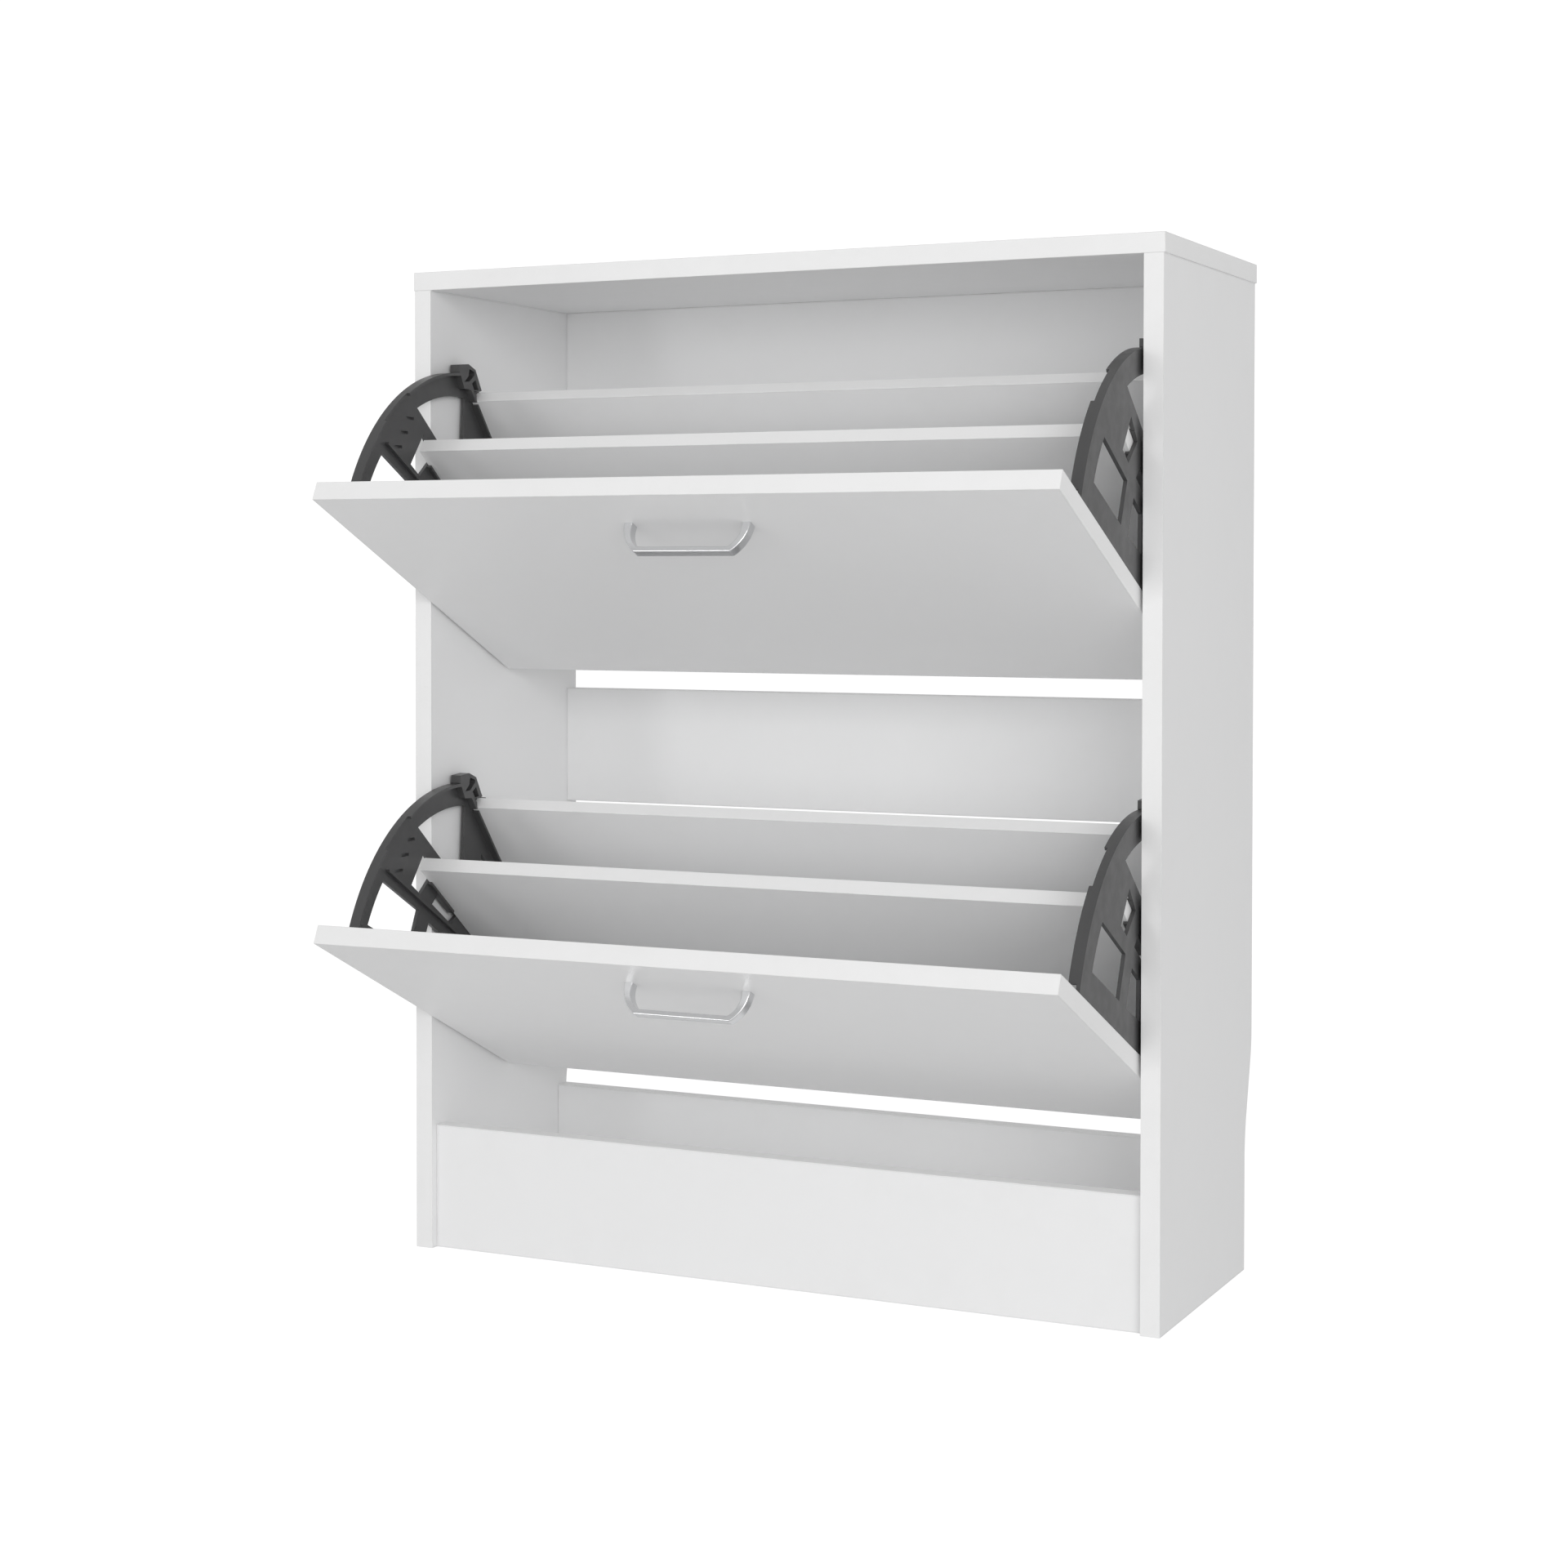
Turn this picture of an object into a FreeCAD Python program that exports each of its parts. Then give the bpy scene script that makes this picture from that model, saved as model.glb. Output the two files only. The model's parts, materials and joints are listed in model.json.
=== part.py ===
import FreeCAD, Part
import math
import os

from FreeCAD import Placement, Rotation, Vector

# Shoe cabinet with two tip-out flaps, shown with both flaps open.
# Frame: X to the right, Y from the front to the back, Z up. The floor is Z = 0, X = 0 is the middle of
# the cabinet, and Y = 0 is the middle of the plinth board, so the origin is the centre of its underside.

doc = FreeCAD.newDocument("ShoeCabinet")

# ---------------------------------------------------------------- driving dimensions

SIZES = {
    # carcass boards
    "carcass_width": 630,
    "carcass_height": 800,
    "side_depth": 248,
    "foot_depth": 229,
    "notch_bottom": 106,
    "notch_top": 177,
    "notch_round": 14,
    "board": 15,
    "top_depth": 250,
    "top_overhang": 1,
    "plinth_height": 101,
    "plinth_recess": 7,
    "rail_height": 100,
    "rail_recess": 2,
    "middle_rail_bottom": 352.5,
    # flaps: the pivot is given from the bottom edge and the front face of the closed door
    "door_height": 330,
    "door_gap": 2.5,
    "door_lift": 7.5,
    "flap_pitch": 338.5,
    "pivot_up": 108.5,
    "pivot_back": 41.5,
    "open_angle": 65.3,
    # inner boards of a flap
    "thin_board": 12,
    "end_gap": 0.3,
    "middle_top_up": 211.9,
    "middle_top_in": 101,
    "middle_lean": 13,
    "middle_length": 181,
    "rear_top_up": 155,
    "rear_top_in": 176.4,
    "rear_lean": 26,
    "rear_length": 150,
    "toe_board_up": 20,
    "toe_board_reach": 94.5,
    # plastic bracket
    "plate": 3,
    "slot_depth": 2.3,
    "rim_radius": 175.5,
    "rim_centre_up": 112,
    "rim_centre_in": 27,
    "rim_wall": 2.5,
    "rim_band": 19,
    "rim_wide": 9,
    "rim_narrow": 6.5,
    "foot_flange": 12,
    "foot_wall": 2.5,
    "boss_radius": 9,
    "boss_length": 10,
    # pivot and stop
    "pin_radius": 4,
    "pin_play": 0.05,
    "bush_radius": 6,
    "bush_flange_radius": 10,
    "bush_flange": 1.5,
    "bore_depth": 10,
    "stop_radius": 3,
    "stop_arm": 48,
    "stop_bearing": 119.7,
    "stop_play": 0.6,
    # handle
    "handle_centres": 96,
    "handle_up": 280.5,
    "handle_height": 9,
    "handle_reach": 23.5,
    "handle_strap": 4.2,
    "handle_bar": 78,
    "handle_mitre": 2.6,
    "handle_foot_out": 51.2,
    "handle_foot_in": 44.2,
    "handle_bow": 3.2,
    # fasteners
    "fit_play": 0.05,
    "hole_play": 0.1,
    "end_play": 0.5,
    "overcut": 2,
    "screw_radius": 1.75,
    "screw_head_radius": 3.2,
    "screw_head": 1.8,
    "bracket_screw_length": 14,
    "divider_screw_length": 22,
    "machine_screw_radius": 2,
    "machine_head_radius": 4,
    "machine_head": 2.6,
    "machine_grip": 5.5,
    "dowel_radius": 4,
    "dowel_length": 28,
    "cam_radius": 7.5,
    "cam_depth": 12,
    "cam_inset": 24,
    "cam_slot_length": 8,
    "cam_slot_width": 1.4,
    "cam_slot_depth": 1.6,
    "bolt_radius": 3,
    "bolt_start": 3.5,
    "joint_offset": 25,
    "top_dowel_front": 40,
    "top_dowel_back": 175,
    "top_dowel_up": 9,
    "middle_screw_down": 92,
    "rear_screw_down": 75,
    "toe_screw_in": 78,
    "bracket_screw_in": 7.5,
}

# Derived cells: each is worked out here from the driving ones and kept in the sheet as a plain number.
S = dict(SIZES)
S["front"] = -(S["plinth_recess"] + S["board"] / 2)
S["inner_half"] = S["carcass_width"] / 2 - S["board"]
S["flap_half"] = S["inner_half"] - S["door_gap"]
S["pivot_y"] = S["front"] + S["pivot_back"]
S["lower_pivot_z"] = S["plinth_height"] + S["door_lift"] + S["pivot_up"]
S["upper_pivot_z"] = S["lower_pivot_z"] + S["flap_pitch"]
S["rail_back"] = S["front"] + S["side_depth"] - S["rail_recess"]
S["foot_back"] = S["front"] + S["foot_depth"]
S["under_top"] = S["carcass_height"] - S["board"]

sheet = doc.addObject("Spreadsheet::Sheet", "sizes")
for row, (name, value) in enumerate(S.items(), start=1):
    sheet.set(f"A{row}", name)
    sheet.set(f"B{row}", repr(round(value, 4)))
    sheet.setAlias(f"B{row}", name)
doc.recompute()

X_AXIS = Vector(1, 0, 0)
Y_AXIS = Vector(0, 1, 0)
TURN = {
    "x": Rotation(Y_AXIS, 90),
    "-x": Rotation(Y_AXIS, -90),
    "y": Rotation(X_AXIS, -90),
    "-y": Rotation(X_AXIS, 90),
    "z": Rotation(),
}
nodes = []


# ---------------------------------------------------------------- small helpers

def bind(obj, prop, text):
    """Bind a property to an expression, in which @name is a cell of the sheet."""
    obj.setExpression(prop, text.replace("@", "sizes."))


def put(obj, place):
    """Bind a position, given as three expressions."""
    for axis, text in zip("xyz", place):
        bind(obj, f"Placement.Base.{axis}", text)


def keep(obj, label):
    """Name a finished sub-part. The label is also the name of its file."""
    obj.Label = label
    nodes.append(obj)
    return obj


def ride_flap(obj, flap):
    """Turn a piece that was drawn about the pivot, door upright, to the open flap's place."""
    obj.Placement = Placement(Vector(), Rotation(X_AXIS, 1))
    bind(obj, "Placement.Base.y", "@pivot_y")
    bind(obj, "Placement.Base.z", f"@{flap}_pivot_z")
    bind(obj, "Placement.Rotation.Angle", "@open_angle * 1 deg")


def box(name, size, place):
    obj = doc.addObject("Part::Box", name)
    for prop, text in zip(("Length", "Width", "Height"), size):
        bind(obj, prop, text)
    put(obj, place)
    return obj


def rod(name, radius, length, direction, place):
    """A cylinder that starts at place and runs along direction."""
    obj = doc.addObject("Part::Cylinder", name)
    obj.Placement = Placement(Vector(), TURN[direction])
    bind(obj, "Radius", radius)
    bind(obj, "Height", length)
    put(obj, place)
    return obj


def joined(name, pieces):
    obj = doc.addObject("Part::MultiFuse", name)
    obj.Shapes = pieces
    return obj


def cut(name, base, tools):
    obj = doc.addObject("Part::Cut", name)
    obj.Base = base
    obj.Tool = tools[0] if len(tools) == 1 else joined(name + "_tools", tools)
    return obj


def group(name, pieces):
    obj = doc.addObject("Part::Compound", name)
    obj.Links = pieces
    return obj


def origin_plane(body, role):
    return next(f for f in body.Origin.OriginFeatures if f.Role == role)


def sketch_on(body, role, offset, name):
    """A sketch on one of the body's origin planes, moved along its normal by an expression."""
    sketch = body.newObject("Sketcher::SketchObject", name)
    sketch.AttachmentSupport = [(origin_plane(body, role), "")]
    sketch.MapMode = "FlatFace"
    bind(sketch, "AttachmentOffset.Base.z", offset)
    return sketch


def outline(sketch, points):
    """Close a loop through points. A point that holds a middle point makes an arc from the one before."""
    first = last = Vector(*points[0], 0)
    for point in points[1:] + [points[0]]:
        if point is points[0] and last.isEqual(first, 1e-6):
            break
        if isinstance(point[0], tuple):
            middle = Vector(*point[0], 0)
            end = Vector(*point[1], 0)
            sketch.addGeometry(Part.Arc(last, middle, end), False)
        else:
            end = Vector(*point, 0)
            sketch.addGeometry(Part.LineSegment(last, end), False)
        last = end


def circle(sketch, centre, radius):
    sketch.addGeometry(Part.Circle(Vector(*centre, 0), Vector(0, 0, 1), radius), False)


def pad(body, sketch, length, name):
    feature = body.newObject("PartDesign::Pad", name)
    feature.Profile = sketch
    bind(feature, "Length", length)
    return feature


def pocket(body, sketch, length, name, reverse):
    """Cut a sketch into the body, and make sure that it did cut."""
    doc.recompute()
    before = body.Shape.Volume
    feature = body.newObject("PartDesign::Pocket", name)
    feature.Profile = sketch
    feature.Reversed = reverse
    bind(feature, "Length", length)
    doc.recompute()
    if body.Shape.Volume > before - 0.01:
        raise RuntimeError(f"{name} cuts nothing")
    return feature


# ---------------------------------------------------------------- carcass

def rounded(corner, before, after):
    """Where the arc that rounds a corner starts, then its middle point and its end."""
    corner, before, after = (Vector(*point, 0) for point in (corner, before, after))
    to_start, to_end = (before - corner).normalize(), (after - corner).normalize()
    half_angle = to_start.getAngle(to_end) / 2
    reach = S["notch_round"]
    start, end = corner + to_start * reach, corner + to_end * reach
    sink = reach / math.cos(half_angle) - reach * math.tan(half_angle)
    middle = corner + (to_start + to_end).normalize() * sink
    return [(start.x, start.y), ((middle.x, middle.y), (end.x, end.y))]


def side_outline():
    """The side panel seen from the right, with the skirting notch at the foot of its back edge."""
    front, back, top = S["front"], S["front"] + S["side_depth"], S["under_top"]
    foot, low, high = S["foot_back"], (S["foot_back"], S["notch_bottom"]), (back, S["notch_top"])
    return [(front, 0), (foot, 0), *rounded(low, (foot, 0), high), *rounded(high, low, (back, top)),
            (back, top), (front, top)]


def rail_rows():
    """The boards that run between the sides: bottom, height and front face, as expressions."""
    return {
        "back_rail_upper": ("@under_top - @rail_height", "@rail_height", "@rail_back - @board"),
        "back_rail_middle": ("@middle_rail_bottom", "@rail_height", "@rail_back - @board"),
        "back_rail_lower": ("0", "@plinth_height", "@foot_back - @board"),
        "plinth_board": ("0", "@plinth_height", "-@board / 2"),
    }


def rail_fixings():
    """For each end of each rail: where its dowel and its cam bolt enter the side, as (x sign, y, z)."""
    dowels, bolts = [], []
    for label, (bottom, tall, face) in rail_rows().items():
        y = f"({face} + @board / 2)"
        middle = f"({bottom} + ({tall}) / 2)"
        for sign in (-1, 1):
            dowels.append((label, sign, y, f"({middle} - @joint_offset)"))
            bolts.append((label, sign, y, f"({middle} + @joint_offset)"))
    return dowels, bolts


DOWELS, BOLTS = rail_fixings()
TOP_DOWEL_Y = ("(@front + @top_dowel_front)", "(@front + @top_dowel_back)")
TOP_BOLT_X = ("-@carcass_width / 4", "@carcass_width / 4")
OUTWARD = {-1: "-x", 1: "x"}
RAIL_MIDDLE_Y = "(@rail_back - @board / 2)"
SIDE_MIDDLE_X = "(@carcass_width / 2 - @board / 2)"
TOP_DOWEL_FOOT = "@under_top - @dowel_length + @top_dowel_up"
STOP_Y = "(@pivot_y + @stop_arm * sin(@stop_bearing * 1 deg))"


def stop_z(flap):
    return f"(@{flap}_pivot_z + @stop_arm * cos(@stop_bearing * 1 deg))"


def side_tools(sign, name):
    """Blind bores in the inner face of a side, for dowels, cam bolts, pivot bushes and stop pegs."""
    inner = f"{sign} * @inner_half"
    direction = OUTWARD[sign]
    tools = []
    for kind, rows, radius in (("dowel", DOWELS, "@dowel_radius"), ("bolt", BOLTS, "@bolt_radius")):
        for label, side, y, z in rows:
            if side == sign:
                tools.append(rod(f"{name}_{kind}_{label}", f"{radius} + @fit_play", "@bore_depth",
                                 direction, (inner, y, z)))
    for flap in ("upper", "lower"):
        tools.append(rod(f"{name}_bush_{flap}", "@bush_radius + @fit_play", "@bore_depth + @end_gap",
                         direction, (inner, "@pivot_y", f"@{flap}_pivot_z")))
        tools.append(rod(f"{name}_stop_{flap}", "@stop_radius + @fit_play", "@bore_depth",
                         direction, (inner, STOP_Y, stop_z(flap))))
    for index, y in enumerate(TOP_DOWEL_Y):
        tools.append(rod(f"{name}_top_dowel_{index}", "@dowel_radius + @fit_play",
                         "@dowel_length - @top_dowel_up", "z",
                         (f"{sign} * {SIDE_MIDDLE_X}", y, TOP_DOWEL_FOOT)))
    return tools


def make_sides():
    for label, sign in (("side_panel_left", -1), ("side_panel_right", 1)):
        body = doc.addObject("PartDesign::Body", label + "_board")
        start = "-@carcass_width / 2" if sign < 0 else "@inner_half"
        sketch = sketch_on(body, "YZ_Plane", start, label + "_outline")
        outline(sketch, side_outline())
        pad(body, sketch, "@board", label + "_pad")
        keep(cut(label + "_drilled", body, side_tools(sign, label)), label)


def make_top():
    board = box("top_board", ("@carcass_width + 2 * @top_overhang", "@top_depth", "@board"),
                ("-@carcass_width / 2 - @top_overhang", "@front", "@under_top"))
    tools = []
    for index, x in enumerate(TOP_BOLT_X):
        tools.append(rod(f"top_bolt_bore_{index}", "@bolt_radius + @fit_play", "@bore_depth", "z",
                         (x, RAIL_MIDDLE_Y, "@under_top")))
    for sign in (-1, 1):
        for index, y in enumerate(TOP_DOWEL_Y):
            tools.append(rod(f"top_dowel_bore_{sign + 1}_{index}", "@dowel_radius + @fit_play",
                             "@top_dowel_up + @end_gap", "z",
                             (f"{sign} * {SIDE_MIDDLE_X}", y, "@under_top")))
    keep(cut("top_drilled", board, tools), "top_panel")


def make_rails():
    for label, (bottom, tall, face) in rail_rows().items():
        board = box(label + "_board", ("2 * @inner_half", "@board", tall),
                    ("-@inner_half", face, bottom))
        tools = []
        for kind, rows in (("dowel", DOWELS), ("bolt", BOLTS)):
            radius = f"@{kind}_radius + @fit_play"
            depth = "@dowel_length - @bore_depth + @end_gap" if kind == "dowel" else "@cam_inset"
            for owner, sign, y, z in rows:
                if owner == label:
                    name = f"{label}_{kind}_{sign + 1}"
                    tools.append(rod(name, radius, depth, OUTWARD[-sign], (f"{sign} * @inner_half", y, z)))
                    if kind == "bolt":
                        x = f"{sign} * (@inner_half - @cam_inset)"
                        tools.append(rod(name + "_cam", "@cam_radius + @fit_play", "@cam_depth + @end_gap", "-y",
                                         (x, f"{face} + @board", z)))
        if label == "back_rail_upper":
            for index, x in enumerate(TOP_BOLT_X):
                tools.append(rod(f"{label}_top_{index}", "@bolt_radius + @fit_play", "@cam_inset", "z",
                                 (x, RAIL_MIDDLE_Y, "@under_top - @cam_inset")))
                tools.append(rod(f"{label}_top_cam_{index}", "@cam_radius + @fit_play", "@cam_depth + @end_gap",
                                 "-y", (x, "@rail_back", "@under_top - @cam_inset")))
        keep(cut(label + "_drilled", board, tools), label)


def cam_disc(name, x, back, z, mouth):
    """A zinc cam disc let into a board's back face. Its mouth, open to one side, takes the bolt's head."""
    disc = rod(name + "_disc", "@cam_radius", "@cam_depth", "-y", (x, back, z))
    throat = rod(name + "_throat", "@bolt_radius + @end_gap", "@cam_radius + @overcut", mouth,
                 (x, f"{back} - @board / 2", z))
    tools = [throat]
    for tag, across, tall in (("level", "length", "width"), ("upright", "width", "length")):
        size = (f"@cam_slot_{across}", "@cam_slot_depth + @overcut", f"@cam_slot_{tall}")
        place = (f"{x} - @cam_slot_{across} / 2", f"{back} - @cam_slot_depth", f"{z} - @cam_slot_{tall} / 2")
        tools.append(box(f"{name}_{tag}_slot", size, place))
    return cut(name, disc, tools)


BOLT_LENGTH = "@cam_inset - @bolt_start + @bore_depth - @end_play"


def make_fasteners():
    rows = rail_rows()
    cams, bolts, dowels = [], [], []
    for label, sign, y, z in BOLTS:
        name = f"cam_{label}_{sign + 1}"
        cams.append(cam_disc(name, f"{sign} * (@inner_half - @cam_inset)", f"({rows[label][2]} + @board)",
                             z, OUTWARD[sign]))
        bolts.append(rod(f"bolt_{label}_{sign + 1}", "@bolt_radius", BOLT_LENGTH, OUTWARD[sign],
                         (f"{sign} * (@inner_half - @cam_inset + @bolt_start)", y, z)))
    for index, x in enumerate(TOP_BOLT_X):
        cams.append(cam_disc(f"cam_top_{index}", f"({x})", "@rail_back", "(@under_top - @cam_inset)", "z"))
        bolts.append(rod(f"bolt_top_{index}", "@bolt_radius", BOLT_LENGTH, "z",
                         (x, RAIL_MIDDLE_Y, "@under_top - @cam_inset + @bolt_start")))
    for label, sign, y, z in DOWELS:
        dowels.append(rod(f"dowel_{label}_{sign + 1}", "@dowel_radius", "@dowel_length", OUTWARD[sign],
                          (f"{sign} * (@inner_half + @bore_depth - @dowel_length)", y, z)))
    for sign in (-1, 1):
        for index, y in enumerate(TOP_DOWEL_Y):
            dowels.append(rod(f"dowel_top_{sign + 1}_{index}", "@dowel_radius", "@dowel_length", "z",
                              (f"{sign} * {SIDE_MIDDLE_X}", y, TOP_DOWEL_FOOT)))
    keep(group("all_cams", cams), "cam_discs")
    keep(group("all_bolts", bolts), "cam_bolts")
    keep(group("all_dowels", dowels), "wooden_dowels")


def make_pivot_parts():
    """Flanged plastic bushes for the pivot pins, and the pegs that stop the flaps, set in the sides."""
    bushes, pegs = [], []
    for flap in ("upper", "lower"):
        for sign in (-1, 1):
            tag = f"{flap}_{sign + 1}"
            inner = f"{sign} * @inner_half"
            z = f"@{flap}_pivot_z"
            sleeve = rod(f"bush_sleeve_{tag}", "@bush_radius", "@bore_depth", OUTWARD[sign],
                         (inner, "@pivot_y", z))
            flange = rod(f"bush_flange_{tag}", "@bush_flange_radius", "@bush_flange", OUTWARD[-sign],
                         (inner, "@pivot_y", z))
            hole = rod(f"bush_hole_{tag}", "@pin_radius + @pin_play", "@bore_depth + 2 * @overcut",
                       OUTWARD[sign], (f"{sign} * (@inner_half - @overcut)", "@pivot_y", z))
            bushes.append(cut(f"bush_{tag}", joined(f"bush_blank_{tag}", [sleeve, flange]), [hole]))
            pegs.append(rod(f"peg_{tag}", "@stop_radius",
                            "@bore_depth + @door_gap + @plate - @end_gap - @end_play", OUTWARD[sign],
                            (f"{sign} * (@flap_half - @plate + @end_gap)", STOP_Y, stop_z(flap))))
    keep(group("all_bushes", bushes), "pivot_bushes")
    keep(group("all_pegs", pegs), "stop_pegs")


# ---------------------------------------------------------------- flaps, drawn about the pivot
# In a flap's own frame the door stands upright, Y = 0 and Z = 0 lie on the pivot axis, and a point is
# given by its height above the door's bottom edge and its depth behind the door's front face.

def at(up, inward):
    return (inward - S["pivot_back"], up - S["pivot_up"])


def lean(prefix):
    """Unit vectors down a divider and through it, from its front face to its back face."""
    angle = math.radians(S[prefix + "_lean"])
    down = (-math.cos(angle), -math.sin(angle))
    through = (-math.sin(angle), math.cos(angle))
    return down, through


def on_divider(prefix, along, deep):
    """The point that lies along a divider from its top edge, and deep behind its front face."""
    down, through = lean(prefix)
    up = S[prefix + "_top_up"] + along * down[0] + deep * through[0]
    inward = S[prefix + "_top_in"] + along * down[1] + deep * through[1]
    return at(up, inward)


def strip_on(prefix, start, end, near, far):
    return [on_divider(prefix, start, near), on_divider(prefix, end, near),
            on_divider(prefix, end, far), on_divider(prefix, start, far)]


def rim_point(radius, angle):
    """A point on a circle about the rim's centre. The angle starts at the door's top and turns inward."""
    turn = math.radians(angle)
    return at(S["rim_centre_up"] + radius * math.cos(turn), S["rim_centre_in"] + radius * math.sin(turn))


def rim_arc(radius, start, end):
    return (rim_point(radius, (start + end) / 2), rim_point(radius, end))


def rim_sector(start, end):
    outer, inner = S["rim_radius"], S["rim_radius"] - S["rim_wall"]
    return [rim_point(outer, start), rim_arc(outer, start, end), rim_point(inner, end),
            rim_arc(inner, end, start)]


def pivot_point(radius, bearing):
    turn = math.radians(bearing)
    return (radius * math.sin(turn), radius * math.cos(turn))


def arc_slot(radius, half, start, end):
    """A slot about the pivot, half wide each way, with round ends about its two end bearings."""
    outer, inner = radius + half, radius - half
    middle = (start + end) / 2
    cap = math.degrees(half / radius)
    return [
        pivot_point(outer, start),
        (pivot_point(outer, middle), pivot_point(outer, end)),
        (pivot_point(radius, end + cap), pivot_point(inner, end)),
        (pivot_point(inner, middle), pivot_point(inner, start)),
        (pivot_point(radius, start - cap), pivot_point(outer, start)),
    ]


BAND_IN = S["board"] + 21
DOOR_FACE = S["board"]
HOOK_ANGLE = 67
STEP_ANGLES = (23.4, 37)
FOOT_START, FOOT_END = 12, 287


def bracket_outline():
    low_angle = math.degrees(math.asin((DOOR_FACE - S["rim_centre_in"]) / S["rim_radius"]))
    return [
        at(FOOT_START, DOOR_FACE),
        rim_point(S["rim_radius"], low_angle),
        rim_arc(S["rim_radius"], low_angle, HOOK_ANGLE),
        on_divider("rear", 0, S["thin_board"] + 3),
        on_divider("rear", S["rear_length"] + 2, S["thin_board"] + 3),
        at(FOOT_START, 116),
    ]


def bracket_windows():
    """Openings that lighten the plate: between the rim, the webs and the boards."""
    inner = S["rim_radius"] - S["rim_band"] - 1
    a_low = math.degrees(math.asin((BAND_IN - S["rim_centre_in"]) / inner))
    a_high = math.degrees(math.asin((75 - S["rim_centre_in"]) / inner))
    return [
        [at(199.5, BAND_IN), rim_point(inner, a_low), rim_arc(inner, a_low, a_high), at(199.5, 71)],
        [at(147, BAND_IN + 1), at(181, BAND_IN), at(181, 66.5), at(158, 64.5)],
        [at(149, 77), at(182, 82), at(176, 94), at(141, 86)],
        [at(218.5, 86), at(211, 116.5), at(190, 107), at(202.5, 83.5)],
        [rim_point(inner + 1, 42), rim_arc(inner + 1, 42, 70), at(150, 133), at(143, 113), at(186, 121)],
        [at(124, 146), at(112, 142), at(120, 122)],
        [at(45, 95), at(98, 104), at(104, 143), at(50, 117)],
    ]


HOOK = [(190.2, 184.9), (192.7, 190.5), (180.3, 197.5), (168.5, 198.4), (152.3, 187.4), (156.5, 184.2),
        (165, 181), (178, 176)]
HOOK_HOLLOWS = [
    [(177.6, 194.6), (169, 195.8), (168.4, 193.3), (173.2, 185), (180, 181.2), (176.4, 188.6)],
    [(165.2, 190.8), (157.4, 185.6), (163.4, 182.2), (168.8, 185.6)],
]
HOOK_CAP = [(169.5, 182.4), (168.6, 180.4), (157.2, 174.2), (154.9, 175.2), (156.4, 176.6), (158.2, 180)]
WEB_RIB = [(140.4, 71), (259.8, 83), (259.6, 84.8), (140.2, 72.8)]
SMALL_SLOTS = [(234.3, 119.2), (237.6, 104.8), (240.8, 90.4)]
SLOT_LENGTH, SLOT_WIDTH = 11, 2.4
FRONT_RIB, BACK_RIB = 2.2, 2.3
BRACKET_SCREWS_UP = (40, 150, 250)


def divider_screw_points():
    """Centres of the screws that hold the ends of the three inner boards."""
    middle = S["thin_board"] / 2
    toe = at(S["toe_board_up"] + middle, S["toe_screw_in"])
    return [on_divider("middle", S["middle_screw_down"], middle),
            on_divider("rear", S["rear_screw_down"], middle), toe]


def level_slot(up, inward):
    """Corners of a blind slot that lies level when the flap stands open."""
    tilt = math.radians(S["open_angle"])
    run = (math.cos(tilt) * SLOT_LENGTH / 2, -math.sin(tilt) * SLOT_LENGTH / 2)
    rise = (math.sin(tilt) * SLOT_WIDTH / 2, math.cos(tilt) * SLOT_WIDTH / 2)
    y, z = at(up, inward)
    return [(y + a * run[0] + b * rise[0], z + a * run[1] + b * rise[1])
            for a, b in ((-1, -1), (1, -1), (1, 1), (-1, 1))]


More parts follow.
